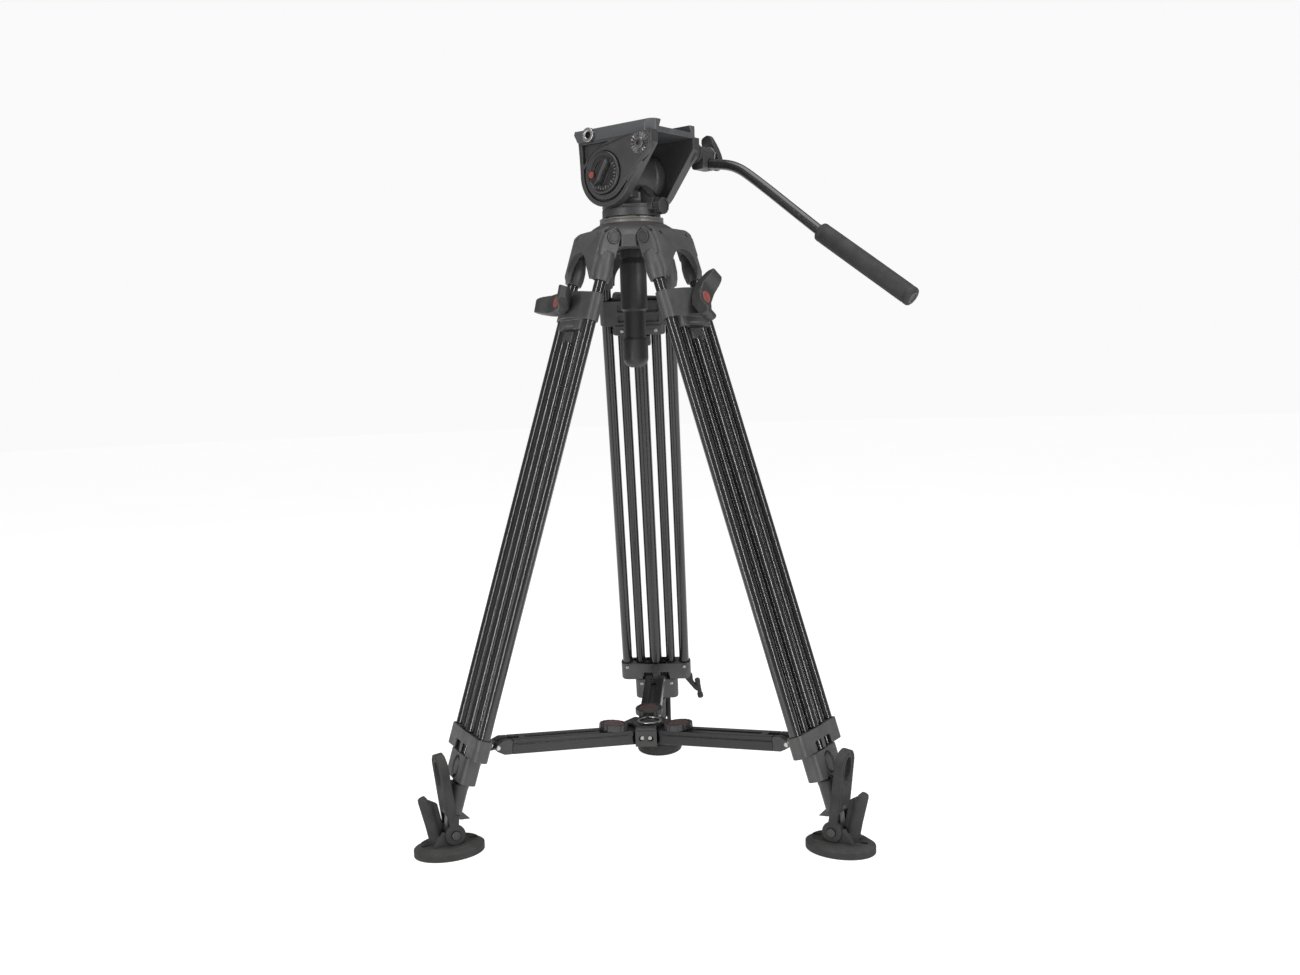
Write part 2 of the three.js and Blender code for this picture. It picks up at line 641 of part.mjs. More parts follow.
// Side cheek: round below the tilt axis, widening to the platform above.
function cheekOutline() {
  const { front, rear, bottom } = PLATFORM;
  const knee = { y: rear, z: 884 };
  const span = Math.hypot(knee.y, knee.z - TILT_Z);
  const bearing = Math.atan2(knee.z - TILT_Z, knee.y);
  const rearTangent = bearing + Math.acos(CHEEK.r / span);
  const outline = new THREE.Shape();
  outline.moveTo(front - 5, bottom);
  outline.quadraticCurveTo(43, 880, CHEEK.r, TILT_Z);
  outline.absarc(0, TILT_Z, CHEEK.r, 0, rearTangent - 2 * Math.PI, true);
  outline.lineTo(knee.y, knee.z);
  outline.lineTo(rear, bottom);
  return outline;
}

function tiltCradle() {
  const { front, rear, bottom, top } = PLATFORM;
  const cheeks = [
    slabX(cheekOutline(), CHEEK.inner, CHEEK.outer),
    slabX(cheekOutline(), -CHEEK.outer, -CHEEK.inner),
  ];
  const [w, chamfer] = [CHEEK.outer, 6];
  const plan = new THREE.Shape([
    [-w, front], [-w, rear + chamfer], [-w + chamfer, rear],
    [w - chamfer, rear], [w, rear + chamfer], [w, front],
  ].map(([x, y]) => new THREE.Vector2(x, y)));
  const platform = slabZ(plan, bottom - 0.5, top, 0.8);
  const { half, draft, floor } = CHANNEL;
  const channel = solid(new THREE.ExtrudeGeometry(new THREE.Shape([
    [-half, floor], [half, floor], [half + draft, top + 1], [-half - draft, top + 1],
  ].map(([x, z]) => new THREE.Vector2(x, z))), { depth: front - rear + 2, bevelEnabled: false })
    .rotateX(Math.PI / 2)
    .translate(0, front + 1, 0));
  const bores = rodX(20 + GAP, -60, 60, 0, TILT_Z, 24);
  const rosette = rodX(13, -CHEEK.outer - 3.5, -CHEEK.outer + 1, ROSETTE.y, ROSETTE.z);
  const boss = rodX(12, CHEEK.outer - 1, CHEEK.outer + 8, ROSETTE.y, ROSETTE.z);
  const stud = rodX(CLAMP.studR, CHEEK.outer, BAR.x + 4, ROSETTE.y, ROSETTE.z, 12);
  const socketBore = rodX(5 + GAP, -CHEEK.outer - 1, -CHEEK.outer + 9, SOCKET.y, SOCKET.z, 12);
  return cut(join(platform, ...cheeks, rosette, boss, stud), channel, bores, socketBore);
}
piece('tilt_cradle', tiltCradle(), castGrey, head);

piece('accessory_bushing', cut(join(
  rodX(5, -CHEEK.outer - 1, -CHEEK.outer + 8, SOCKET.y, SOCKET.z, 12),
  rodX(9.2, -CHEEK.outer - 6.5, -CHEEK.outer - GAP, SOCKET.y, SOCKET.z),
), rodX(3.9, -CHEEK.outer - 8, -CHEEK.outer - 1, SOCKET.y, SOCKET.z, 12)), steel, head);

// Tilt drag knob: round dial with a raised grip ridge across it.
piece('tilt_drag_knob', (() => {
  const x0 = -CHEEK.outer - GAP;
  const dial = turned([[0, 0], [26, 0], [26.7, 1], [26, 5.5], [24, 7], [0, 7]], 32).rotate([0, -90, 0]);
  const ridge = slabZ(roundedRect(40, 11, 5), 5, 12, 1.5).rotate([0, -90, 0]).rotate([-20, 0, 0]);
  return join(dial, ridge).translate([x0, 0, TILT_Z]);
})(), plastic, head);

const barPath = new THREE.CatmullRomCurve3([
  [-48, 873.6], [-61, 872], [-84, 868.8], [-100, 865.5], [-113, 860.5], [-128, 851.5], [-160, 827.5],
  [-200, 796.2], [-244, 762],
].map(([y, z]) => new THREE.Vector3(BAR.x, y, z)), false, 'catmullrom', 0.5);

function alongBar(r, path, steps, sides) {
  const section = new THREE.Shape();
  section.absarc(0, 0, r, 0, 2 * Math.PI);
  return solid(new THREE.ExtrudeGeometry(section, {
    steps, extrudePath: path, curveSegments: sides, bevelEnabled: false,
  }));
}

function barClamp() {
  const { y, z } = ROSETTE;
  const { x0, x1, r, flangeR, studR } = CLAMP;
  const body = join(
    rodX(flangeR, x0, x0 + 10, y, z),
    slabX([[y - 12, z], [y - 12, z - 20], [y + 10, z - 20], [y + 12, z]], x0, x1),
    rodX(r, x0, x1, y, z),
  );
  return cut(body, rodX(studR + GAP, x0 - 1, x1 + 1, y, z), alongBar(BAR.r + GAP, barPath, 12, 6));
}

const gripStart = new THREE.Vector3(BAR.x, -236, 768.3);
const gripEnd = new THREE.Vector3(BAR.x, -362, 678.6);

// A straight run along the grip, as fractions of its length.
const alongGrip = (from, to) => new THREE.LineCurve3(
  gripStart.clone().lerp(gripEnd, from),
  gripStart.clone().lerp(gripEnd, to),
);
piece('bar_clamp', barClamp(), castGrey, head);
piece('pan_bar', join(
  alongBar(BAR.r, barPath, 12, 6),
  alongBar(BAR.r, alongGrip(0.02, 0.85), 1, 6),
), anodised, head);
piece('bar_grip', cut(
  alongBar(BAR.gripR, alongGrip(0, 1), 1, 8),
  alongBar(BAR.r + GAP, alongGrip(-0.05, 0.9), 1, 6),
  alongBar(BAR.r + 0.5, barPath, 12, 6),
), rubber, head);

// Wing knob on the rosette's stud.
piece('bar_wing_knob', (() => {
  const { y, z } = ROSETTE;
  const x0 = CLAMP.x1 + GAP;
  const wing = new THREE.Shape();
  wing.moveTo(-8, 0);
  wing.lineTo(8, 0);
  wing.lineTo(17, 7);
  wing.absarc(14, 12, 6, -0.8, Math.PI * 0.7);
  wing.lineTo(0, 13);
  wing.absarc(-14, 12, 6, Math.PI * 0.3, Math.PI + 0.8);
  const blade = slabZ(wing, -6, 6, 1.5).rotate([180, 0, 90]);
  const body = join(rodX(8.5, x0, x0 + 10), blade.translate([x0 + 1, 0, 0]));
  return cut(body, rodX(CLAMP.studR + GAP, 0, x0 + 6, 0, 0, 16))
    .rotate([-40, 0, 0])
    .translate([0, y, z]);
})(), plastic, head);

// ---------------------------------------------------------------- origin

// The part's origin is on the floor, under the middle of its bounding box.
tripod.updateMatrixWorld(true);
const extent = new THREE.Box3().setFromObject(tripod, true);
tripod.position.set(
  -(extent.min.x + extent.max.x) / 2,
  -(extent.min.y + extent.max.y) / 2,
  -extent.min.z,
);

export default tripod;
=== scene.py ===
"""Video tripod with a fluid head: the visual model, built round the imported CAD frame.

Shapes are made in millimetres in a local frame (leg, shoe, spreader arm or head) and are
placed by that frame's matrix, so each piece keeps its own frame as object coordinates.
"""

import math

import bmesh
import bpy
from mathutils import Matrix, Vector


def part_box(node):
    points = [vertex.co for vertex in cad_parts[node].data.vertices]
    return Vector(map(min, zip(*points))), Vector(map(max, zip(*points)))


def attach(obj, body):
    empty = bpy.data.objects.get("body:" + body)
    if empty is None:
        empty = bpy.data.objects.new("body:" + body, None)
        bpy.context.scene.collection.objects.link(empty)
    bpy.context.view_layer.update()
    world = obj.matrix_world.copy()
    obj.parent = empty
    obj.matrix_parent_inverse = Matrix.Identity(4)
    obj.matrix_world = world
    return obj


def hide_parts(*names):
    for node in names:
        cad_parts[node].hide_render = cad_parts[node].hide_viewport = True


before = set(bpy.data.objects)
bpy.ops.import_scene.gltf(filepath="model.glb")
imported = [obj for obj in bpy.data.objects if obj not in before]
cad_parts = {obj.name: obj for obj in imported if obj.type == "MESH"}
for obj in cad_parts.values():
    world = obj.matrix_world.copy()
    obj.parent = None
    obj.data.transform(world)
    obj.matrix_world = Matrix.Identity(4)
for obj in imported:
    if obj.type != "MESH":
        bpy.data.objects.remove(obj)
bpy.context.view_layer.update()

# --- driving dimensions (mm)

MM = 0.001
GAP = 0.3
MERGE_DISTANCE = 1e-4
LEAN = math.radians(17.65)
HINGE_R, HINGE_Z, HINGE_HOLE_R = 50.7, 770, 5.3
LUG_HALF = 37.5
YOKE_HALF = LUG_HALF + 13
LEGS = {"rear": (90, 15), "left": (210, 12), "right": (330, 50)}   # azimuth, knob turn

# Stations down a leg from its hinge, as in the CAD model.
SOCKET_END = 57
LOCK_TOP, LOCK_BOTTOM, BLOCK_BOTTOM = 71, 111, 122
SLIDER_TOP, SLIDER_BOTTOM, SLIDER_HALF = 124, 138, 15.3
LOWER_TOP, LOWER_BOTTOM = 642, 677.5
MIDDLE_TOP, MIDDLE_BOTTOM = 678, 712
BARREL_TOP, BARREL_BOTTOM, BARREL_R = 716, 757, 12.3
KNOB_STATION = 92
OUTER_X, OUTER_R = 44, 7.5
INNER_X, INNER_R = 23.2, 7
CENTRE_R = 9.6

ANKLE_R, ANKLE_Z = 281.5, 26.5
SHOE_R, SHOE_LONG, SHOE_WIDE, SHOE_HEIGHT = 285, 45.4, 35, 11.5

HUB_R, HUB_Z = 20, 109.5
LUG_R, LUG_Z = 219, 127.5
ARM_HALF, ARM_HEIGHT, CHANNEL_END, KNOB_Y = 14, 19, 180, 32
ARM_LENGTH = math.hypot(LUG_R - HUB_R, LUG_Z - HUB_Z)
ARM_RISE = math.atan2(LUG_Z - HUB_Z, LUG_R - HUB_R)

BALL_Z, BALL_R = 801, 37
CUP_OUTER = 54.5
RIM_R, RIM_TOP = 42, 799.8
CROWN_BOTTOM, CROWN_TOP = 758.6, 794
HEAD_YAW = math.radians(54.3)
PAN_SKIRT, PAN_TOP, PAN_LOCK_Z = 800.3, 816.5, 812
TILT_Z, CARTRIDGE_R = 854.5, 30
CHEEK_IN, CHEEK_OUT, CHEEK_R = 36, 50, 42.5
RAIL_FRONT, RAIL_REAR, RAIL_BOTTOM, RAIL_TOP = 54, -77, 899.7, 913.6
ROSETTE_Y, ROSETTE_Z = -60, 884
KNEE_Z = 884
RIB_Y, RIB_Z = -26, 812
SOCKET_Y, SOCKET_Z, SOCKET_R = 23, 904.5, 5.3
CHANNEL_HALF, CHANNEL_LIP, CHANNEL_FLOOR = 33, 29.6, 904.7
BOLT_HOLE_R = 4.3
BAR_X, BAR_R, GRIP_R = 83, 6.7, 12.2
BAR_ROUTE = [
    (-48, 873.6), (-61, 872), (-84, 868.8), (-100, 865.5), (-113, 860.5), (-128, 851.5), (-160, 827.5),
    (-200, 796.2), (-244, 762),
]
GRIP_ENDS = [(-236, 768.3), (-362, 678.6)]

low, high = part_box("half_ball")
AXIS = Vector(((low.x + high.x) / 2, (low.y + high.y) / 2, 0))

# --- camera

CAMERA_PLACE = Vector((0.08108, -1.72386, 0.60177))
CAMERA_PAN, CAMERA_PITCH, CAMERA_ROLL = -0.0596, 0.0944, -0.0301
CAMERA_LENS = 34.29


def make_camera():
    forward = Vector((
        math.sin(CAMERA_PAN) * math.cos(CAMERA_PITCH),
        math.cos(CAMERA_PAN) * math.cos(CAMERA_PITCH),
        -math.sin(CAMERA_PITCH),
    ))
    level = Vector((math.cos(CAMERA_PAN), -math.sin(CAMERA_PAN), 0))
    upright = level.cross(forward)
    right = level * math.cos(CAMERA_ROLL) + upright * math.sin(CAMERA_ROLL)
    up = upright * math.cos(CAMERA_ROLL) - level * math.sin(CAMERA_ROLL)
    data = bpy.data.cameras.new("camera")
    data.lens = CAMERA_LENS
    data.sensor_width = 36
    camera = bpy.data.objects.new("camera", data)
    bpy.context.scene.collection.objects.link(camera)
    camera.matrix_world = Matrix.Translation(CAMERA_PLACE) @ Matrix((
        right, up, -forward,
    )).transposed().to_4x4()
    bpy.context.scene.camera = camera


make_camera()

# --- materials


class Graph:
    """A material's node tree, with short calls to add and link nodes."""

    def __init__(self, name):
        self.material = bpy.data.materials.new(name)
        self.material.use_nodes = True
        self.tree = self.material.node_tree
        self.shader = self.tree.nodes["Principled BSDF"]

    def add(self, kind, inputs=None, **settings):
        node = self.tree.nodes.new("ShaderNode" + kind)
        for key, value in settings.items():
            setattr(node, key, value)
        self.fill(node, inputs or {})
        return node

    def fill(self, node, inputs):
        for key, value in inputs.items():
            if isinstance(value, bpy.types.NodeSocket):
                self.tree.links.new(value, node.inputs[key])
            else:
                node.inputs[key].default_value = value

    def noise(self, size, detail=4, stretch=(1, 1, 1)):
        """Noise whose features are about `size` metres across, stretched by axis."""
        place = self.add("TexCoord").outputs["Object"]
        scaled = self.add("Mapping", {"Vector": place, "Scale": stretch}).outputs["Vector"]
        return self.add("TexNoise", {"Vector": scaled, "Scale": 1 / size, "Detail": detail}).outputs["Fac"]

    def ranged(self, value, low, high, start=0.3, end=0.7):
        return self.add("MapRange", {
            "Value": value, "From Min": start, "From Max": end, "To Min": low, "To Max": high,
        }).outputs["Result"]

    def mixed(self, factor, first, second):
        """A colour between two others. The keys are the Mix node's factor and colour sockets."""
        return self.add("Mix", {0: factor, 6: first, 7: second}, data_type="RGBA").outputs[2]

    def math(self, operation, *values):
        node = self.add("Math", operation=operation)
        self.fill(node, dict(enumerate(values)))
        return node.outputs[0]

    def edges(self, radius):
        """1 along edges sharper than the bevel radius (metres), 0 on open faces."""
        rounded_normal = self.add("Bevel", {"Radius": radius}, samples=4).outputs["Normal"]
        normal = self.add("NewGeometry").outputs["Normal"]
        node = self.add("VectorMath", {0: rounded_normal, 1: normal}, operation="DOT_PRODUCT")
        return self.ranged(node.outputs["Value"], 1, 0, 0.82, 0.97)


def grey(value, warmth=0.0):
    return (value * (1 + warmth), value, value * (1 - warmth), 1)


def shade(colour, factor):
    return (*(min(1, c * factor) for c in colour[:3]), 1)


def surface(name, colour, roughness, metallic=0.0, grain=0.0004, bump=0.12, mottle=0.14, patch=0.02,
            spread=0.08, stretch=(1, 1, 1), wear_and_glint=0.0, wear_and_glint_colour=None, dust=0.0, coat=0.0, specular=0.5):
    """Coloured stock with patchy tone, surface grain, uneven gloss, lighter chipped edges and settled dust.
    The lighter edges are rubbed stock on most materials and painted glints on the rosette's teeth.
    """
    graph = Graph(name)
    patches = graph.noise(patch, 5, stretch)
    tone = graph.mixed(graph.ranged(patches, 0, 1), shade(colour, 1 - mottle), shade(colour, 1 + mottle))
    fine = graph.noise(grain, 2, stretch)
    rough = graph.ranged(graph.noise(patch * 0.4, 6, stretch), roughness - spread, roughness + spread)
    if dust:
        normal = graph.add("SeparateXYZ", {0: graph.add("NewGeometry").outputs["Normal"]}).outputs["Z"]
        settled = graph.math(
            "MULTIPLY", graph.ranged(normal, 0, dust, 0.2, 1), graph.ranged(patches, 0.4, 1),
        )
        tone = graph.mixed(settled, tone, grey(0.36, 0.04))
        rough = graph.math("ADD", rough, graph.math("MULTIPLY", settled, 0.3))
    # Lighter chipped edges: rubbed stock on most materials, painted glints (highlights) on the rosette's
    # teeth.
    if wear_and_glint:
        chipped = graph.ranged(graph.noise(0.0025, 8), 0, 1, 0.42, 0.62)
        wear_and_glint_mask = graph.math("MULTIPLY", graph.math("MULTIPLY", graph.edges(0.0007), chipped), wear_and_glint)
        tone = graph.mixed(wear_and_glint_mask, tone, wear_and_glint_colour or shade(colour, 3))
        rough = graph.math("SUBTRACT", rough, graph.math("MULTIPLY", wear_and_glint_mask, 0.15))
    relief = graph.add("Bump", {"Height": fine, "Strength": bump, "Distance": grain * 0.6})
    graph.fill(graph.shader, {
        "Base Color": tone, "Roughness": rough, "Metallic": metallic, "Normal": relief.outputs["Normal"],
        "Coat Weight": coat, "Coat Roughness": 0.08, "Specular IOR Level": specular,
    })
    return graph.material


ALONG_TUBE = (1, 1, 0.02)
CAST = surface("cast_grey_paint", grey(0.048, 0.012), 0.46, grain=0.0005, bump=0.2, wear_and_glint=0.35, dust=0.07)
CAST_DARK = surface(
    "head_casting_paint", grey(0.034, 0.005), 0.42, grain=0.0005, bump=0.2, wear_and_glint=0.35, dust=0.05,
)
RAIL = surface(
    "rail_satin_anodised", (0.085, 0.088, 0.093, 1), 0.36, metallic=0.35, grain=0.0002, bump=0.1,
    stretch=(1, 0.05, 1), wear_and_glint=0.5, wear_and_glint_colour=grey(0.4),
)
TUBE = surface(
    "tube_gloss_black", grey(0.01), 0.2, grain=0.002, bump=0.006, mottle=0.3, patch=0.006, spread=0.02,
    stretch=ALONG_TUBE, coat=0.35,
)
BAR = surface(
    "bar_gloss_black", grey(0.016, 0.02), 0.24, grain=0.0005, bump=0.015, mottle=0.2, patch=0.01,
    coat=0.3,
)
EXTRUSION = surface(
    "arm_black_anodised", grey(0.02), 0.34, metallic=0.3, grain=0.0002, bump=0.08, stretch=(1, 0.04, 1),
    wear_and_glint=0.6, wear_and_glint_colour=grey(0.3),
)
PLASTIC = surface("moulded_dark_plastic", grey(0.026), 0.46, grain=0.0004, bump=0.3, wear_and_glint=0.2, dust=0.04)
SHINY_PLASTIC = surface("handle_dark_plastic", grey(0.02), 0.32, grain=0.0006, bump=0.12, wear_and_glint=0.15)
RUBBER = surface(
    "shoe_rubber", grey(0.027, 0.01), 0.78, grain=0.0007, bump=0.35, mottle=0.2, dust=0.1, wear_and_glint=0.25,
    wear_and_glint_colour=grey(0.1), specular=0.35,
)
FOAM = surface(
    "grip_rubber", grey(0.024, 0.01), 0.7, grain=0.0009, bump=0.22, mottle=0.18, dust=0.05, specular=0.35,
)
# On these teeth the light grey chipped edges are painted glints: highlights painted along the tooth edges.
TEETH = surface(
    "rosette_metal", grey(0.13), 0.3, metallic=0.7, grain=0.0003, bump=0.1, wear_and_glint=0.8,
    wear_and_glint_colour=grey(0.6),
)
STEEL = surface(
    "bright_steel", grey(0.4, 0.03), 0.36, metallic=1, grain=0.0002, bump=0.08, mottle=0.1, patch=0.004,
    wear_and_glint=0.2, wear_and_glint_colour=grey(0.9),
)
RING_METAL = surface(
    "bowl_ring_metal", grey(0.13, 0.06), 0.42, metallic=0.3, grain=0.0003, bump=0.12, mottle=0.12,
    wear_and_glint=0.7, wear_and_glint_colour=grey(0.75, 0.03),
)
RED = surface(
    "red_insert", (0.22, 0.045, 0.035, 1), 0.45, grain=0.0003, bump=0.15, mottle=0.25, patch=0.003,
    wear_and_glint=0.4, wear_and_glint_colour=(0.5, 0.2, 0.16, 1),
)
DIAL_FACE = surface("dial_face", grey(0.07, 0.02), 0.42, metallic=0.2, grain=0.0003, bump=0.15, patch=0.003)
PALE = surface("pale_insert", grey(0.25, 0.03), 0.45, metallic=0.3, grain=0.0003, bump=0.2, patch=0.003)

# --- shape helpers (mm)


def circle(r, a=0.0, b=0.0, sides=48):
    return [(a + r * math.cos(2 * math.pi * i / sides), b + r * math.sin(2 * math.pi * i / sides))
            for i in range(sides)]


def arc(a, b, r, start, end, steps=12):
    """Points on an arc about (a, b), with angles in degrees."""
    turns = [math.radians(start + (end - start) * i / steps) for i in range(steps + 1)]
    return [(a + r * math.cos(t), b + r * math.sin(t)) for t in turns]


def oval(wide, high, a=0.0, b=0.0, sides=48):
    return [(a + wide * u, b + high * v) for u, v in circle(1, sides=sides)]


def rectangle(width, depth, r):
    """A rectangle with round corners, centred on the origin."""
    w, d = width / 2 - r, depth / 2 - r
    steps = 6
    return (arc(w, d, r, 0, 90, steps) + arc(-w, d, r, 90, 180, steps)
            + arc(-w, -d, r, 180, 270, steps) + arc(w, -d, r, 270, 360, steps))


def softened(points, radius, steps=4, closed=True):
    """The outline with its corners rounded off."""
    result = []
    last = len(points) - 1
    for i, point in enumerate(points):
        corner = Vector(point)
        if not closed and i in (0, last):
            result.append(corner)
            continue
        ends = []
        for neighbour in (points[i - 1], points[(i + 1) % len(points)]):
            side = Vector(neighbour) - corner
            ends.append(corner + side.normalized() * min(radius, side.length * 0.48))
        for k in range(steps + 1):
            t = k / steps
            result.append(ends[0] * (1 - t) ** 2 + corner * (2 * t * (1 - t)) + ends[1] * t * t)
    return result


def inset(points, distance):
    """A counter-clockwise outline moved inward."""
    result = []
    for i, point in enumerate(points):
        before = (Vector(point) - Vector(points[i - 1])).normalized()
        after = (Vector(points[(i + 1) % len(points)]) - Vector(point)).normalized()
        normals = [Vector((-side.y, side.x)) for side in (before, after)]
        middle = (normals[0] + normals[1]).normalized()
        result.append(Vector(point) + middle * (distance / max(0.3, middle.dot(normals[0]))))
    return result


def as_object(mesh):
    shape = bpy.data.objects.new("shape", mesh)
    bpy.context.scene.collection.objects.link(shape)
    return shape


def shape_of(bm):
    mesh = bpy.data.meshes.new("shape")
    bm.to_mesh(mesh)
    bm.free()
    return as_object(mesh)


def duplicate(shape):
    return as_object(shape.data.copy())


def gathered(shapes):
    """Several separate shapes as one."""
    bm = bmesh.new()
    for shape in shapes:
        bm.from_mesh(shape.data)
    for shape in shapes:
        bpy.data.objects.remove(shape)
    return shape_of(bm)


PLACE = {
    "X": lambda a, b, h: (h, a, b),
    "Y": lambda a, b, h: (a, h, b),
    "Z": lambda a, b, h: (a, b, h),
}


def through(rings, loop=False):
    """A closed solid through rings of 3-D points, capped at its ends or joined end to end."""
    bm = bmesh.new()
    rows = [[bm.verts.new(point) for point in ring] for ring in rings]
    count = len(rows[0])
    for first, second in zip(rows, rows[1:] + ([rows[0]] if loop else [])):
        for i in range(count):
            j = (i + 1) % count
            bm.faces.new((first[i], first[j], second[j], second[i]))
    if not loop:
        bm.faces.new(rows[0])
        bm.faces.new(rows[-1])
    bmesh.ops.remove_doubles(bm, verts=bm.verts, dist=MERGE_DISTANCE)
    bmesh.ops.recalc_face_normals(bm, faces=bm.faces)
    return shape_of(bm)


def slab(axis, outline, start, end):
    """An outline pushed along an axis. Outlines are (y, z) along X, (x, z) along Y and (x, y) along Z."""
    return through([[PLACE[axis](a, b, h) for a, b in outline] for h in (start, end)])


def turned(axis, profile, a=0.0, b=0.0, sides=48, hollow=False):
    """A body of revolution from (radius, height) points. A hollow one closes on itself."""
    rings = [[PLACE[axis](u, v, h) for u, v in circle(max(r, 0.05), a, b, sides)] for r, h in profile]
    return through(rings, loop=hollow)


def rod(axis, r, start, end, a=0.0, b=0.0, sides=48, chamfer=0.0):
    if not chamfer:
        return slab(axis, circle(r, a, b, sides), start, end)
    profile = [(r - chamfer, start), (r, start + chamfer), (r, end - chamfer), (r - chamfer, end)]
    return turned(axis, profile, a, b, sides)


def block(x, y, z):
    return slab("Z", [(x[0], y[0]), (x[1], y[0]), (x[1], y[1]), (x[0], y[1])], *z)


def baked(shape, spent=()):
    """The shape with its modifiers applied. The spent shapes are deleted."""
    bpy.context.view_layer.update()
    graph = bpy.context.evaluated_depsgraph_get()
    mesh = bpy.data.meshes.new_from_object(shape.evaluated_get(graph))
    shape.modifiers.clear()
    old = shape.data
    shape.data = mesh
    bpy.data.meshes.remove(old)
    for other in spent:
        bpy.data.objects.remove(other)
    return shape


def combined(operation, shape, others):
    for other in others:
        step = shape.modifiers.new(operation, "BOOLEAN")
        step.operation = operation
        step.solver = "MANIFOLD"
        step.object = other
    return baked(shape, others)


def join(shape, *others):
    return combined("UNION", shape, others)


def cut(shape, *others):
    return combined("DIFFERENCE", shape, others)


def common(shape, *others):
    return combined("INTERSECT", shape, others)


def moved(shape, matrix):
    shape.data.transform(matrix)
    if matrix.determinant() < 0:
        shape.data.flip_normals()
    return shape


def shifted(shape, x=0.0, y=0.0, z=0.0):
    return moved(shape, Matrix.Translation((x, y, z)))


def spun(shape, degrees, axis="Z"):
    return moved(shape, Matrix.Rotation(math.radians(degrees), 4, axis))


def posed(shape, place, degrees, axis="X"):
    """Turns a shape about its origin, then moves it to a place."""
    return moved(shape, Matrix.Translation(place) @ Matrix.Rotation(math.radians(degrees), 4, axis))


def mirrored(shape):
    return moved(shape, Matrix.Scale(-1, 4, (1, 0, 0)))


def both_sides(make):
    """make(side) for the side at -X and the side at +X."""
    return [make(-1), make(1)]


def reach(side, near, far):
    """The span from near to far on one side, in rising order."""
    return sorted((side * near, side * far))


def rod_pair(r, start, end, x, *finish):
    """Two rods along Z, at -x and at +x."""
    return both_sides(lambda side: rod("Z", r, start, end, side * x, 0, *finish))


def cast(shape, voxel=0.8, rounds=4, keep=0.3):
    """Rounds every edge and fillets every corner, as a casting or a rubber moulding has."""
    remesh = shape.modifiers.new("remesh", "REMESH")
    remesh.mode = "VOXEL"
    remesh.voxel_size = voxel * 1
    smooth = shape.modifiers.new("smooth", "SMOOTH")
    smooth.factor = 0.5
    smooth.iterations = rounds
    thin = shape.modifiers.new("thin", "DECIMATE")
    thin.ratio = keep
    baked(shape)
    shape.data.shade_smooth()
    return shape


def edged(shape, width=0.6, segments=2, limit=32):
    """Narrow round edges on a machined or moulded shape, with flat faces kept flat."""
    bevel = shape.modifiers.new("bevel", "BEVEL")
    bevel.width = width
    bevel.segments = segments
    bevel.limit_method = "ANGLE"
    bevel.angle_limit = math.radians(limit)
    bevel.use_clamp_overlap = False
    bevel.miter_outer = "MITER_ARC"
    baked(shape)
    shape.data.shade_smooth()
    shape.data.set_sharp_from_angle(angle=math.radians(50))
    weighted = shape.modifiers.new("weighted", "WEIGHTED_NORMAL")
    weighted.keep_sharp = True
    return baked(shape)


def smooth(shape, angle=40):
    shape.data.shade_smooth()
    shape.data.set_sharp_from_angle(angle=math.radians(angle))
    return shape


def piece(name, shape, material, matrix, body, node, slot=None):
    """Names a finished shape, places it and ties it to its CAD body and the node it stands for."""
    shape.data.transform(Matrix.Scale(MM, 4))
    shape.name = name
    shape.data.name = name
    shape.data.materials.clear()
    shape.data.materials.append(material)
    shape.matrix_world = matrix
    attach(shape, body)
    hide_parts(node)


# --- local frames (metres)

CENTRE = Matrix.Translation(AXIS)


def spin_frame(azimuth):
    return CENTRE @ Matrix.Rotation(math.radians(azimuth - 90), 4, "Z")


def leg_frame(azimuth):
    """X is the hinge axis, +Y points outward and -Z runs down the tubes."""
    hinge = Matrix.Translation((0, HINGE_R * MM, HINGE_Z * MM))
    return spin_frame(azimuth) @ hinge @ Matrix.Rotation(LEAN, 4, "X")


def arm_frame(azimuth):
    """+Y runs from the hub pivot to the leg pivot."""
    pivot = Matrix.Translation((0, HUB_R * MM, HUB_Z * MM))
    return spin_frame(azimuth) @ pivot @ Matrix.Rotation(ARM_RISE, 4, "X")


# +Y is forward, towards the subject, and +X is the pan bar's side.
HEAD = CENTRE @ Matrix.Rotation(HEAD_YAW, 4, "Z")


def in_leg(r, z):
    """A point at radius r and height z above the floor, as (y, z) in the leg's frame."""
    dy, dz = r - HINGE_R, z - HINGE_Z
    return (dy * math.cos(LEAN) + dz * math.sin(LEAN), -dy * math.sin(LEAN) + dz * math.cos(LEAN))


# --- small fastenings

SCREW_R, SCREW_HEIGHT = 2.6, 1.5


def screw(axis, face, a, b, outward=1):
    """Pan-head screw with a hexagon recess, standing on a face."""
    r, height = SCREW_R, SCREW_HEIGHT * outward
    head = turned(axis, [
        (r, face), (r, face + height * 0.5), (r * 0.8, face + height * 0.85), (r * 0.6, face + height),
    ], a, b, 20)
    return cut(head, rod(axis, r * 0.42, *sorted((face + height * 0.2, face + height * 2)), a, b, sides=6))


def screw_pair(face, x, z):
    """Two screws on the inward face of a leg's collar."""
    return gathered(both_sides(lambda side: screw("Y", face, side * x, z, outward=-1)))


# --- leg


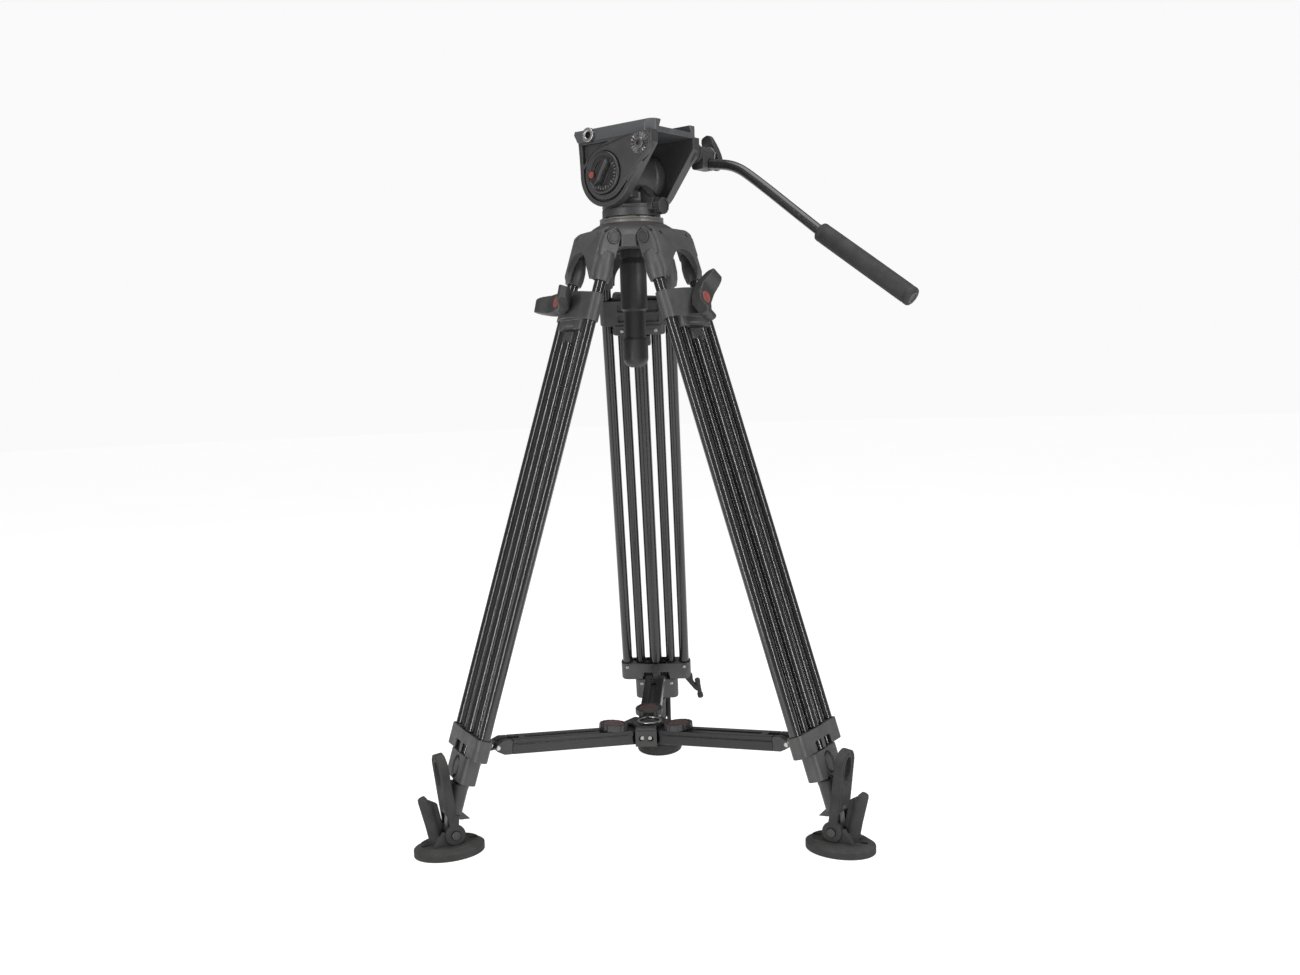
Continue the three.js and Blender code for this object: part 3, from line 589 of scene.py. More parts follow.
def yoke():
    """Arched fork: a curved shell over the crown's lug, two arms and two tube sockets."""
    section = softened([
        (4.9, 11.3), (8.7, 8.7), (11.4, 4.6), (12.3, 0), (12.5, -12), (9, -SOCKET_END), (11, -SOCKET_END),
        (13.5, -52), (19, -42), (22.2, -30), (21.3, -20), (18.9, -9), (15.8, 1.5), (11.8, 8.8), (6.3, 14),
    ], 5, 3)
    parts = []
    for side in (-1, 1):
        span = reach(side, LUG_HALF + 0.5, YOKE_HALF)
        arm = softened([(-10, 0), (-10, -27), (12.5, -27), (14, -12), (12.3, 0), (9, 6)], 4, 3)
        socket = [(9, -20), (12.2, -38), (12.2, -48), (10.7, -SOCKET_END)]
        parts += [rod("X", 10, *span), slab("X", arm, *span), turned("Z", socket, side * OUTER_X)]
    body = join(slab("X", section, -OUTER_X, OUTER_X), *parts)
    sweep = [(-70, -30), (70, -30)] + arc(0, -107.5, 130, 62, 118, 24)
    body = common(body, slab("Z", sweep, -80, 30))
    arch = join(rod("Y", 31.5, -30, 40, 0, -53, 64), block((-31.5, 31.5), (-30, 40), (-80, -53)))
    bores = rod_pair(OUTER_R + GAP, -80, -32, OUTER_X)
    dimples = both_sides(lambda side: rod("Y", 2.9, 9, 30, side * 31, 1))
    seats = [
        rod("X", 8.6, YOKE_HALF - 1, 60), rod("X", 8.6, -60, 1 - YOKE_HALF),
        rod("X", HINGE_HOLE_R, -60, 60),
    ]
    return cast(cut(body, arch, *seats, *dimples, *bores), 0.75, 5, 0.3)


def hinge_caps():
    def cap(side):
        face = YOKE_HALF - 0.7
        profile = [
            (8.2, face), (8.2, face + 1.6), (7.5, face + 2.3), (6.5, face + 2.3), (6.1, face + 1.6),
            (5.4, face + 1.6), (5.0, face + 2.2), (1, face + 2.2),
        ]
        return turned("X", [(r, side * h) for r, h in profile])
    return smooth(gathered(both_sides(cap)), 30)


def tubes(x, r, top, bottom):
    return smooth(gathered(rod_pair(r, -bottom, -top, x, 64, 0.6)), 35)


def fluted(r, top, bottom, x=0):
    """A drawn tube with six shallow flutes along it."""
    flutes = []
    for i in range(6):
        t = math.pi * (i + 0.5) / 3
        flutes.append(rod(
            "Z", 1.8, -bottom - 1, 1 - top, x + (r + 1.2) * math.cos(t), (r + 1.2) * math.sin(t), 20,
        ))
    return smooth(cut(rod("Z", r, -bottom, -top, x, 0, 64, 0.5), *flutes), 30)


def lower_collar():
    body = slab("Z", rectangle(108, 21.6, 9.4), -LOWER_BOTTOM, -650)
    wells = rod_pair(INNER_R + 0.6, -700, -600, INNER_X)
    wells.append(rod("Z", CENTRE_R + 0.6, -700, -600))
    wells.append(block((-15.8, 15.8), (-8.9, 8.9), (-700, -600)))
    windows = both_sides(lambda side: block(reach(side, 4, 21), (-20, 20), (-700, 12 - LOWER_BOTTOM)))
    seats = rod_pair(OUTER_R + 0.5, -653, -600, OUTER_X)
    return edged(cut(body, *wells, *windows, *seats), 0.9)


def spreader_lug():
    y, z = in_leg(LUG_R, LUG_Z)
    plate = slab(
        "X", softened([(-9.5, -LOWER_BOTTOM + 1), (y, z - 5), (y - 3, z), (y, z + 5), (-9.5, z + 13)], 4),
        -4, 4,
    )
    return edged(cut(join(plate, rod("X", 5, -4, 4, y, z)), rod("X", 2.2, -6, 6, y, z)), 0.5)


def lock_collar():
    bulge = [(x, 9.2 + 9.3 * math.cos(math.pi * x / 88)) for x in range(40, -41, -5)]
    outline = arc(OUTER_X, 0, 9.5, -90, 75) + bulge + arc(-OUTER_X, 0, 9.5, 105, 270)
    body = slab("Z", outline, 2 - LOCK_BOTTOM, -LOCK_TOP - 2)
    under = slab("Z", rectangle(72, 21, 6), -BLOCK_BOTTOM, 3 - LOCK_BOTTOM)
    bores = rod_pair(OUTER_R + GAP, -140, -60, OUTER_X)
    panel = block((-33, 33), (-20, -11), (5 - LOCK_BOTTOM, -LOCK_TOP - 5))
    pockets = []
    for side in (-1, 1):
        for top in (79, 93.5):
            pockets.append(block(reach(side, 4, 28), (-20, -6.5), (-top - 10, -top)))
    scallop = slab(
        "Y",
        softened([
            (-20, -BLOCK_BOTTOM - 2), (20, -BLOCK_BOTTOM - 2), (16, 5 - BLOCK_BOTTOM),
            (-16, 5 - BLOCK_BOTTOM),
        ], 3), 8, 30,
    )
    return edged(cut(join(body, under), panel, scallop, *bores, *pockets), 1.1, 3)


def lock_knob(turn):
    plan = softened([
        (-3, 20), (18, 22), (31, 30), (39.5, 36), (41.5, 43), (37, 48.5), (29, 46.5), (16, 36.5),
        (-3, 33),
    ], 4)
    face = softened([(-3, -12.5), (20, -12.5), (43, -7.5), (43, 7.5), (20, 12.5), (-3, 12.5)], 6)
    half = common(slab("Z", plan, -14, 14), slab("Y", face, 0, 60))
    hub = turned("Y", [(12.8, 19.3), (12.8, 30), (11.5, 33.5), (9.4, 35)])
    shape = cast(cut(join(hub, mirrored(duplicate(half)), half), rod("Y", 8.2, 33.4, 40)), 0.8, 7, 0.3)
    return posed(shape, (0, 0, -KNOB_STATION), turn, "Y")


def knob_insert():
    disc = turned(
        "Y", [(7.9, 32.4), (7.9, 34.3), (7.2, 34.9), (5.2, 34.9), (4.8, 34.4), (0.5, 34.4)], 0,
        -KNOB_STATION,
    )
    return smooth(disc, 30)


def middle_collar():
    body = slab("Z", rectangle(66, 22, 8), -MIDDLE_BOTTOM, -MIDDLE_TOP)
    middle = -696
    recess = cut(slab("Y", oval(11, 14, 0, middle), 8.6, 20), slab("Y", oval(8, 11, 0, middle), 8, 10.1))
    wells = rod_pair(INNER_R + 0.4, -MIDDLE_TOP - 2, -600, INNER_X)
    return edged(cut(body, recess, rod("Z", CENTRE_R + GAP, -800, -600), *wells), 1.1)


def slider():
    body = slab("Z", rectangle(2 * SLIDER_HALF, 17, 3), -SLIDER_BOTTOM, -SLIDER_TOP)
    grooves = [
        block((x - 0.8, x + 0.8), sorted((y, y * 2)), (-150, -120)) for x in range(-12, 13, 4)
        for y in (-7.4, 7.4)
    ]
    return edged(cut(body, *grooves), 0.35)


def foot_barrel():
    r = BARREL_R
    barrel = turned("Z", softened([
        (5, -BARREL_BOTTOM), (r - 2.5, -BARREL_BOTTOM), (r, 3 - BARREL_BOTTOM), (r, -722), (r + 0.5, -721),
        (r + 0.5, -BARREL_TOP), (CENTRE_R + 0.2, -BARREL_TOP),
    ], 1.2, 3, closed=False), sides=56)
    y, z = in_leg(ANKLE_R, ANKLE_Z)
    tongue = slab(
        "X", softened([(y - 8, z), (y + 8, z), (8, 2 - BARREL_BOTTOM), (-8, 2 - BARREL_BOTTOM)], 1), -6.4,
        6.4,
    )
    return edged(join(barrel, tongue, rod("X", 10, -6.4, 6.4, y, z)), 0.4, 2, 45)


def ankle_pin():
    y, z = in_leg(ANKLE_R, ANKLE_Z)
    profile = [(4, -19), (5.5, -19.4), (5.5, -20.3), (4.8, -20.9), (3.4, -20.9), (3.1, -20.2), (0.5, -20.2)]
    heads = [turned("X", [(r, side * h) for r, h in profile], y, z) for side in (-1, 1)]
    return smooth(join(rod("X", 4, -19.1, 19.1, y, z), *heads), 30)


def spike():
    """Pointed steel tab beside the bottom of the barrel, folded up while the shoe is on."""
    y, z = in_leg(256.5, 38.7)
    outline = [(-7, 2 - BARREL_BOTTOM), (-12, 5 - BARREL_BOTTOM), (y, z), (-13, z - 3), (-7, z - 2)]
    return edged(slab("X", outline, -3, 3), 0.5)


def transport_strap():
    bottom = -LOWER_BOTTOM
    outline = softened([
        (42.5, bottom + 3), (43, bottom - 2), (60, bottom - 26), (65, bottom - 27), (66, bottom - 22),
        (57, bottom - 13), (55.8, bottom + 3),
    ], 4)
    strap = slab("Y", outline, -4, 4)
    bar = turned("Z", [
        (2.6, -18), (4.6, -16.5), (4.6, -11), (3.4, -8), (3.6, 8), (4.2, 10), (4.2, 15.5), (2.6, 17),
    ], sides=24)
    return cast(join(strap, posed(bar, (65.5, 0, bottom - 23), -8, "Y")), 0.5, 3, 0.4)


def shoe_disc():
    """Oval sole with a bevelled shoulder, a low plateau and two slots."""
    layers = []
    for margin, height in ((0.8, 0), (0, 0.8), (0, 8.6), (5.5, 11.5), (6.2, 11.7), (6.9, 13.4), (7.6, 13.8)):
        outline = oval(SHOE_WIDE - margin, SHOE_LONG - margin, 0, SHOE_R, 96)
        layers.append([(x, y, height) for x, y in outline])
    slot = rectangle(6.6, 12, 3.2)
    slots = both_sides(lambda side: shifted(slab("Z", slot, -1, 20), 0, SHOE_R + side * 31, 0))
    return edged(cut(through(layers), *slots), 0.4, 2, 20)


def shoe_posts():
    """The ears round the pivot, the toe wedges and the leaning peg with its web."""
    foot = 12.5
    ears = []
    for side in (-1, 1):
        span = reach(side, 6.8, 12.8)
        toe = reach(side, 9, 15.5)
        ears.append(rod("X", 10.5, *span, ANKLE_R, ANKLE_Z))
        ears.append(slab("X", [
            (SHOE_R - 18, foot), (SHOE_R + 14, foot), (ANKLE_R + 9, ANKLE_Z), (ANKLE_R - 9, ANKLE_Z),
        ], *span))
        ears.append(slab("X", [
            (SHOE_R + 2, foot), (SHOE_R + 24, foot), (SHOE_R + 24, 14.5), (SHOE_R + 12, 31),
            (SHOE_R + 9, 31),
        ], *toe))
    peg = turned("Z", [(9.6, 1), (8.4, 6), (8, 30), (8.6, 62), (8, 66)])
    peg = cut(peg, block((-12, 12), (-12, -2.5), (58, 72)))
    peg = posed(peg, (0, SHOE_R + 15.5, SHOE_HEIGHT), -13)
    web = slab("X", [
        (SHOE_R + 8, foot), (SHOE_R + 17, foot), (SHOE_R + 28, 74), (SHOE_R + 14, 66), (SHOE_R + 9, 42),
    ], -3.5, 3.5)
    body = join(peg, web, *ears)
    return cast(cut(body, rod("X", 4.6, -40, 40, ANKLE_R, ANKLE_Z)), 0.7, 3, 0.3)


def shoe_strap():
    fork, side = 13.2, 19.2
    outline = (
        [(-side, ANKLE_Z), (-fork, ANKLE_Z), (-fork, 72)] + arc(0, 72, fork, 180, 0, 16)
        + [(fork, ANKLE_Z), (side, ANKLE_Z), (18.8, 111)] + arc(0, 111, 18.8, 0, 180, 24) + [(-18.8, 111)]
    )
    plate = slab("Y", outline, -5.5, 5.5)
    eye = slab("Y", oval(9.6, 16, 0, 105), -20, 20)
    outer, inner = oval(15.2, 22.5, 0, 106), oval(12.4, 19, 0, 106)
    grooves = [
        cut(slab("Y", outer, y0, y1), slab("Y", inner, y0 - 1, y1 + 1)) for y0,
        y1 in ((4.3, 9), (-9, -4.3))
    ]
    panel = slab("Y", [(-14, 50), (14, 50), (14, 88), (-14, 88)], 3.2, 5.2)
    plate = cut(join(plate, panel), eye, *grooves)
    plate = posed(shifted(plate, 0, 0, -ANKLE_Z), (0, ANKLE_R, ANKLE_Z), -7)
    bosses = both_sides(lambda end: rod("X", 13, *reach(end, fork, side), ANKLE_R, ANKLE_Z, chamfer=0.8))
    seats = both_sides(lambda end: rod("X", 6.2, *reach(end, 17.9, 24), ANKLE_R, ANKLE_Z))
    return cast(cut(join(plate, *bosses), rod("X", 4.5, -40, 40, ANKLE_R, ANKLE_Z), *seats), 0.7, 4, 0.3)


def build_leg(leg, azimuth, knob_turn):
    place = leg_frame(azimuth)
    flat = spin_frame(azimuth)

    def add(part, shape, material, body, node, matrix=place, slot=None):
        piece(f"{leg}_{part}", shape, material, matrix, f"{leg}_{body}", f"{leg}_{node}", slot)

    add("yoke_casting", yoke(), CAST, "leg", "yoke")
    add("hinge_caps", hinge_caps(), PLASTIC, "leg", "hinge_pin")
    add("outer_tubes", tubes(OUTER_X, OUTER_R, 33, LOWER_TOP + 8), TUBE, "leg", "outer_stage")
    add("lower_collar", lower_collar(), CAST, "leg", "outer_stage")
    add("spreader_lug", spreader_lug(), CAST, "leg", "outer_stage")
    add("lower_screws", screw_pair(-11.5, OUTER_X, -655), STEEL, "leg", "outer_stage")
    add("lock_collar_casting", lock_collar(), CAST, "second_stage", "lock_collar")
    add("lock_screws", screw_pair(-10.5, 23.5, -115.5), STEEL, "second_stage", "lock_collar")
    add("wing_knob", lock_knob(knob_turn), PLASTIC, "leg_lock", "lock_knob")
    add("knob_insert", knob_insert(), RED, "leg_lock", "lock_knob")
    inner = gathered(both_sides(
        lambda side: fluted(INNER_R, LOCK_BOTTOM + 3, MIDDLE_TOP + 6, side * INNER_X)
    ))
    add("inner_tubes", inner, TUBE, "second_stage", "middle_stage")
    add("middle_collar", middle_collar(), CAST, "second_stage", "middle_stage")
    add("middle_screws", screw_pair(-11, INNER_X, -685), STEEL, "second_stage", "middle_stage")
    centre = fluted(CENTRE_R, SLIDER_BOTTOM - 2, BARREL_TOP + 6)
    add("third_tube", centre, TUBE, "third_stage", "centre_tube")
    add("slider", slider(), CAST, "third_stage", "centre_tube", slot="dark_plastic")
    add("barrel", foot_barrel(), PLASTIC, "third_stage", "foot_barrel")
    add("ankle_pin", ankle_pin(), PLASTIC, "third_stage", "foot_barrel")
    add("spike", spike(), CAST, "third_stage", "foot_barrel")
    add("shoe_sole", shoe_disc(), RUBBER, "shoe", "shoe_base", flat)
    add("shoe_posts", shoe_posts(), RUBBER, "shoe", "shoe_base", flat)
    add("shoe_loop", shoe_strap(), RUBBER, "shoe", "shoe_strap", flat)


for leg, (azimuth, knob_turn) in LEGS.items():
    build_leg(leg, azimuth, knob_turn)
piece("rear_transport_loop", transport_strap(), RUBBER, leg_frame(90), "rear_leg", "transport_strap")

# --- crown, bowl and tie-down


def ball_points(radius, r0, r1, steps):
    """(r, z) points along the lower half of a ball about the levelling centre."""
    radii = [r0 + (r1 - r0) * i / steps for i in range(steps + 1)]
    return [(r, BALL_Z - math.sqrt(radius * radius - r * r)) for r in radii]


def crown_casting():
    shoulder = turned("Z", softened(
        [(20, 740), (70, 740), (66.5, 770), (58.5, 782), (50, 788), (41, 793), (20, 794)], 8, 5,
        closed=False,
    ), sides=96)
    body = None
    for azimuth, _ in LEGS.values():
        lug = join(
            rod("X", 11.5, -LUG_HALF, LUG_HALF, HINGE_R, HINGE_Z),
            block((-LUG_HALF, LUG_HALF), (22, HINGE_R), (CROWN_BOTTOM, CROWN_TOP)),
        )
        lug = spun(cut(lug, rod("X", HINGE_HOLE_R, -40, 40, HINGE_R, HINGE_Z)), azimuth - 90)
        face = spun(slab(
            "Z", [(-16, 30), (16, 30), (18.4, 48), (9.2, 63.9), (-9.2, 63.9), (-18.4, 48)], CROWN_BOTTOM,
            CROWN_TOP,
        ), azimuth + 90)
        body = join(body, lug, face) if body else join(lug, face)
    room = turned(
        "Z", [(1, BALL_Z - BALL_R - 3), *ball_points(BALL_R + 2.8, 10, 36, 6), (38.5, 796), (1, 796)],
    )
    body = common(body, shoulder)
    return cast(cut(body, room, rod("Z", 19.5, 730, 790, sides=64)), 0.8, 5, 0.35)


def bowl_ring():
    """Machined bowl: a lipped rim with shallow scallops on top, and the seat for the ball."""
    seat, shell = BALL_R + 0.8, 4
    outside = [
        *ball_points(seat + shell, 18, 33, 8), (38.5, 790.6), (RIM_R - 1.2, 791.2), (RIM_R, 792.6),
        (RIM_R, 795.4), (RIM_R - 1, 796), (RIM_R - 1, 796.8), (RIM_R, 797.4), (RIM_R, 799),
        (RIM_R - 0.8, RIM_TOP),
    ]
    inside = [
        (39.4, RIM_TOP), (39, RIM_TOP - 0.5), (39, RIM_TOP - 5),
        *reversed(ball_points(seat, 18, 37.2, 10)),
    ]
    ring = turned("Z", outside + inside, sides=96, hollow=True)
    scallops = [spun(rod("Y", 9, 30, 50, 0, RIM_TOP + 7.7, 32), 360 * i / 12 + 15) for i in range(12)]
    return edged(cut(ring, *scallops), 0.25, 1)


def half_ball():
    body = turned("Z", [
        (2, BALL_Z - BALL_R + 0.05), *ball_points(BALL_R, 9, 36.5, 14), (36.5, PAN_SKIRT - 0.1),
        (2, PAN_SKIRT - 0.1),
    ], sides=96)
    return smooth(cut(body, rod("Z", 7, 700, BALL_Z - 3)), 35)


def tie_down_handle():
    profile = [
        (5.4, 606), (9, 607), (14, 610.5), (16.2, 614.5), (16.8, 618), (16.8, 642), (16.2, 643.6),
        (14.7, 644.6), (14.6, 646), (14.6, 679), (15, 680.4), (17, 681.6), (17.6, 683.5), (17.6, 741),
        (17, 743.5), (16, 745.4),
    ]
    top = list(reversed(ball_points(CUP_OUTER + GAP, 5.4, 15.6, 4)))
    body = turned("Z", profile + top, sides=72)
    return edged(cut(body, rod("Z", 5.2, 719, 760, sides=32)), 0.5)


def tie_down_washer():
    below, above = ball_points(CUP_OUTER, 11, 17, 4), ball_points(42.3, 11, 17, 4)
    return smooth(turned("Z", [*below, *reversed(above)], sides=64, hollow=True), 35)


def tie_down_stud():
    shank = rod("Z", 4.9, 720, BALL_Z - 3, sides=32, chamfer=0.6)
    return smooth(join(shank, rod("Z", 8.8, BALL_Z - 5, BALL_Z - 2.4, sides=6, chamfer=0.5)), 35)


piece("crown_casting", crown_casting(), CAST, CENTRE, "crown", "crown")
piece("bowl_ring", bowl_ring(), RING_METAL, CENTRE, "crown", "crown")
piece("ball_casting", half_ball(), CAST_DARK, CENTRE, "levelling_ball", "half_ball")
piece("tie_down_washer", tie_down_washer(), PLASTIC, CENTRE, "tie_down_cup", "tie_down_cup")
piece("tie_down_stud", tie_down_stud(), STEEL, CENTRE, "levelling_ball", "tie_down_bolt")
piece("tie_down_grip", tie_down_handle(), PLASTIC, CENTRE, "tie_down_handle", "tie_down_handle")

# --- spreader


POINTS_PER_FLUTE = 6


def knurled(r, start, end, flutes, depth=0.9, axis="Z"):
    """A disc with round flutes in its rim and bevelled faces."""
    outline = []
    for i, (u, v) in enumerate(circle(1, sides=flutes * POINTS_PER_FLUTE)):
        wave = 0.5 - 0.5 * math.cos(2 * math.pi * i / POINTS_PER_FLUTE)
        radius = r - depth * wave ** 2
        outline.append((radius * u, radius * v))
    small = [(a * (r - 1) / r, b * (r - 1) / r) for a, b in outline]
    layers = [(small, start), (outline, start + 0.8), (outline, end - 0.8), (small, end)]
    return through([[PLACE[axis](a, b, h) for a, b in ring] for ring, h in layers])


def arm_channel():
    h = ARM_HEIGHT / 2
    body = join(
        rod("X", h, -ARM_HALF, ARM_HALF), block((-ARM_HALF, ARM_HALF), (0, CHANNEL_END), (-h, h)),
        rod("X", 3, -ARM_HALF - 4.5, ARM_HALF + 4.5),
    )
    bay = block((4 - ARM_HALF, ARM_HALF - 4), (40, 200), (3.5 - h, h - 3.5))
    slot = slab("Z", [(x, y + 106.5) for x, y in rectangle(6.4, 105, 3.1)], 0, h + 1)
    mouth = block((-4.7, 4.7), (168, 200), (-h - 1, h + 1))
    lines = both_sides(lambda side: block(reach(side, ARM_HALF - 0.7, 20), (12, 190), (2.6, 4.2)))
    return edged(cut(body, bay, slot, mouth, rod("Z", 3.2, 0, h + 1, 0, KNOB_Y), *lines), 0.6)


def arm_end():
    h, side = ARM_HEIGHT / 2, ARM_HALF - 4 - GAP
    bar = block((-side, side), (44, CHANNEL_END + 3), (3.8 - h, h - 3.8))
    end = slab("X", softened([
        (CHANNEL_END + GAP, -h), (ARM_LENGTH - 9, -h), (ARM_LENGTH + 1, -5), (ARM_LENGTH + 5, 0),
        (ARM_LENGTH + 1, 5), (ARM_LENGTH - 8, h), (CHANNEL_END + GAP, h),
    ], 1.5, 3), -ARM_HALF, ARM_HALF)
    fork = block((-4.7, 4.7), (166, ARM_LENGTH + 9), (-h - 1, h + 1))
    return edged(cut(join(bar, end), fork), 0.7)


def arm_pin():
    return smooth(rod("X", 3.2, -ARM_HALF - 0.8, ARM_HALF + 0.8, ARM_LENGTH, 0, 32, 0.6), 30)


def arm_knob():
    h = ARM_HEIGHT / 2
    body = cut(knurled(19.2, h + GAP, h + 9, 16), turned("Z", [(14.6, h + 7.6), (15.6, h + 12)]))
    return shifted(smooth(join(body, rod("Z", 2.8, 2, h + 2, sides=24)), 35), 0, KNOB_Y, 0)


def knob_face(top):
    """Thin disc let into an arm knob's dished face."""
    disc = turned("Z", [(14.2, top - 1.5), (14.2, top - 0.4), (13.6, top), (0.5, top)])
    return shifted(smooth(disc, 30), 0, KNOB_Y, 0)


def knob_marks(top):
    """Raised ring and tick marks on an arm knob's face."""
    ring = turned(
        "Z", [(9.6, top - 0.6), (9.6, top + 0.35), (8.9, top + 0.35), (8.9, top - 0.6)], hollow=True,
    )
    ticks = [spun(block((-0.3, 0.3), (10.6, 12.6), (top - 0.5, top + 0.3)), 30 * i) for i in range(12)]
    return shifted(smooth(gathered([ring, *ticks]), 30), 0, KNOB_Y, 0)


def spreader_hub():
    top = HUB_Z + ARM_HEIGHT / 2 + 1.3
    near = (ARM_HALF + GAP) / math.sin(math.pi / 3)
    body = rod("Z", 19, top, top + 4, sides=64)
    parts = []
    for azimuth, _ in LEGS.values():
        wedge = slab(
            "Z", [(0, near), (-13.5, 25), (-14.5, 29.5), (14.5, 29.5), (13.5, 25)], HUB_Z - 11, top + 1,
        )
        lobe = slab(
            "Z", softened([(-9, 0), (9, 0), (14.5, 24), (14, 30), (-14, 30), (-14.5, 24)], 2), top,
            top + 4,
        )
        parts += [spun(wedge, azimuth + 90), spun(lobe, azimuth + 90)]
    staple = cut(rod("Y", 3, 12, 20, 0, top + 5, 32), rod("X", 2, -4, 4, 16, top + 5.6, 24))
    foot = block((-3, 3), (12, 20), (top + 3, top + 5))
    foot = cut(foot, rod("X", 2, -4, 4, 16, top + 5.6, 24))
    bores = [spun(rod("X", 3 + GAP, -30, 30, HUB_R, HUB_Z), azimuth - 90) for azimuth, _ in LEGS.values()]
    return edged(cut(join(body, staple, foot, *parts), *bores), 0.7)


def hub_screws():
    screws = []
    for azimuth, _ in LEGS.values():
        screws += both_sides(lambda side: spun(screw("Y", 29.5, side * 5.2, HUB_Z + 1), azimuth + 90))
    return smooth(gathered(screws), 30)


def carrying_ring():
    """Wire ring that lies on the hub, held by its staple."""
    wire = turned("Z", circle(1.5, 14.9, 125.9, 12), sides=72, hollow=True)
    return smooth(shifted(wire, 3.5, 1.4, 0), 60)


piece("hub_moulding", spreader_hub(), PLASTIC, CENTRE, "spreader_hub", "spreader_hub")
piece("hub_screws", hub_screws(), STEEL, CENTRE, "spreader_hub", "spreader_hub")
piece("carrying_loop", carrying_ring(), STEEL, CENTRE, "carrying_ring", "carrying_ring")
for leg, (azimuth, _) in LEGS.items():
    arm = (arm_frame(azimuth), f"{leg}_arm")
    lock = (arm_frame(azimuth), f"{leg}_arm_lock", f"{leg}_arm_knob")
    face = ARM_HEIGHT / 2 + 8.6
    piece(f"{leg}_arm_extrusion", arm_channel(), EXTRUSION, *arm, f"{leg}_arm_channel")
    piece(f"{leg}_arm_fork", arm_end(), PLASTIC, *arm, f"{leg}_arm_end")
    piece(f"{leg}_arm_pin", arm_pin(), STEEL, *arm, f"{leg}_arm_end")
    piece(f"{leg}_arm_dial", arm_knob(), PLASTIC, *lock)
    piece(f"{leg}_dial_face", knob_face(face), DIAL_FACE, *lock)
    piece(f"{leg}_dial_marks", knob_marks(face), RED, *lock)

# --- fluid head


def pan_base():
    turntable = turned("Z", softened([
        (5, PAN_SKIRT), (37, PAN_SKIRT), (38.2, 801.2), (38.2, 811.4), (37.2, 812), (37.2, 813.2),
        (38, 813.8), (38, PAN_TOP - 0.8), (37, PAN_TOP), (28, 817.6), (25.8, 821), (25.2, 832), (5, 832),
    ], 0.6, 2, closed=False), sides=96)
    saddle = slab("Z", rectangle(60, 44, 8), PAN_TOP + 8, TILT_Z - 12)
    sweep = slab(
        "X",
        softened([
            (-14, 842), (-22, 842.5), (-28, 837), (-33, 828.5), (-40, 824.5), (-44, 823.5), (-44, 807.6),
            (-14, 807.6),
        ], 5, 5), -9, 9,
    )
    boss = cut(rod("Y", 12, -44, -20, 0, PAN_LOCK_Z), block((-20, 20), (-60, 0), (700, 807.2)))
    cradle = rod("X", CARTRIDGE_R + 0.5, -40, 40, 0, TILT_Z, 96)
    rooms = both_sides(lambda side: block(reach(side, CHEEK_IN - 0.5, 60), (-60, 60), (811.2, 900)))
    shape = cut(
        join(turntable, saddle, sweep, boss), cradle, rod("Y", BOLT_HOLE_R, -60, -30, 0, PAN_LOCK_Z),
        *rooms,
    )
    return edged(shape, 0.5, 2, 40)


def pan_lock():
    head = knurled(10.8, 44.3, 55.3, 14, 1.0, "Y")
    dish = turned("Y", [(7.4, 54.2), (8.2, 58)])
    shape = join(cut(head, dish), rod("Y", 4, 32, 46, sides=32))
    return shifted(smooth(moved(shape, Matrix.Scale(-1, 4, (0, 1, 0))), 35), 0, 0, PAN_LOCK_Z)


def cartridge():
    inner = CHEEK_IN - GAP
    body = turned(
        "X",
        softened([
            (20, -CHEEK_OUT + 2), (20, -inner), (CARTRIDGE_R, -inner), (CARTRIDGE_R, -22),
            (CARTRIDGE_R - 1.6, -20), (CARTRIDGE_R - 1.6, 20), (CARTRIDGE_R, 22), (CARTRIDGE_R, inner),
            (20, inner), (20, CHEEK_OUT - 2),
        ], 0.8, 2, closed=False), 0, TILT_Z, 96,
    )
    return smooth(body, 35)


def cheek_outline():
    """Counter-clockwise (y, z) outline: a round foot, a hollow front and a straight back."""
    knee = Vector((RAIL_REAR, KNEE_Z - TILT_Z))
    tangent = math.degrees(math.atan2(knee.y, knee.x) + math.acos(CHEEK_R / knee.length))
    front = [Vector((RAIL_FRONT - 9, RAIL_BOTTOM)), Vector((43, 878)), Vector((CHEEK_R, TILT_Z))]
    curve = [
        front[0] * (1 - t) ** 2 + front[1] * (2 * t * (1 - t)) + front[2] * t * t
        for t in [i / 8 for i in range(8)]
    ]
    back = [(RAIL_REAR, KNEE_Z), (RAIL_REAR, RAIL_BOTTOM)]
    points = curve + arc(0, TILT_Z, CHEEK_R, 0, tangent - 360, 40) + back
    return [Vector(p) for p in reversed(points)]


def teardrop(r_big, r_small):
    """Outline round the drag knob and the rosette together."""
    run = Vector((ROSETTE_Y, ROSETTE_Z - TILT_Z))
    bearing = math.degrees(math.atan2(run.y, run.x))
    open_angle = math.degrees(math.acos((r_big - r_small) / run.length))
    big = arc(0, TILT_Z, r_big, bearing + open_angle, bearing + 360 - open_angle, 40)
    small = arc(ROSETTE_Y, ROSETTE_Z, r_small, bearing - open_angle, bearing + open_angle, 16)
    return big + small


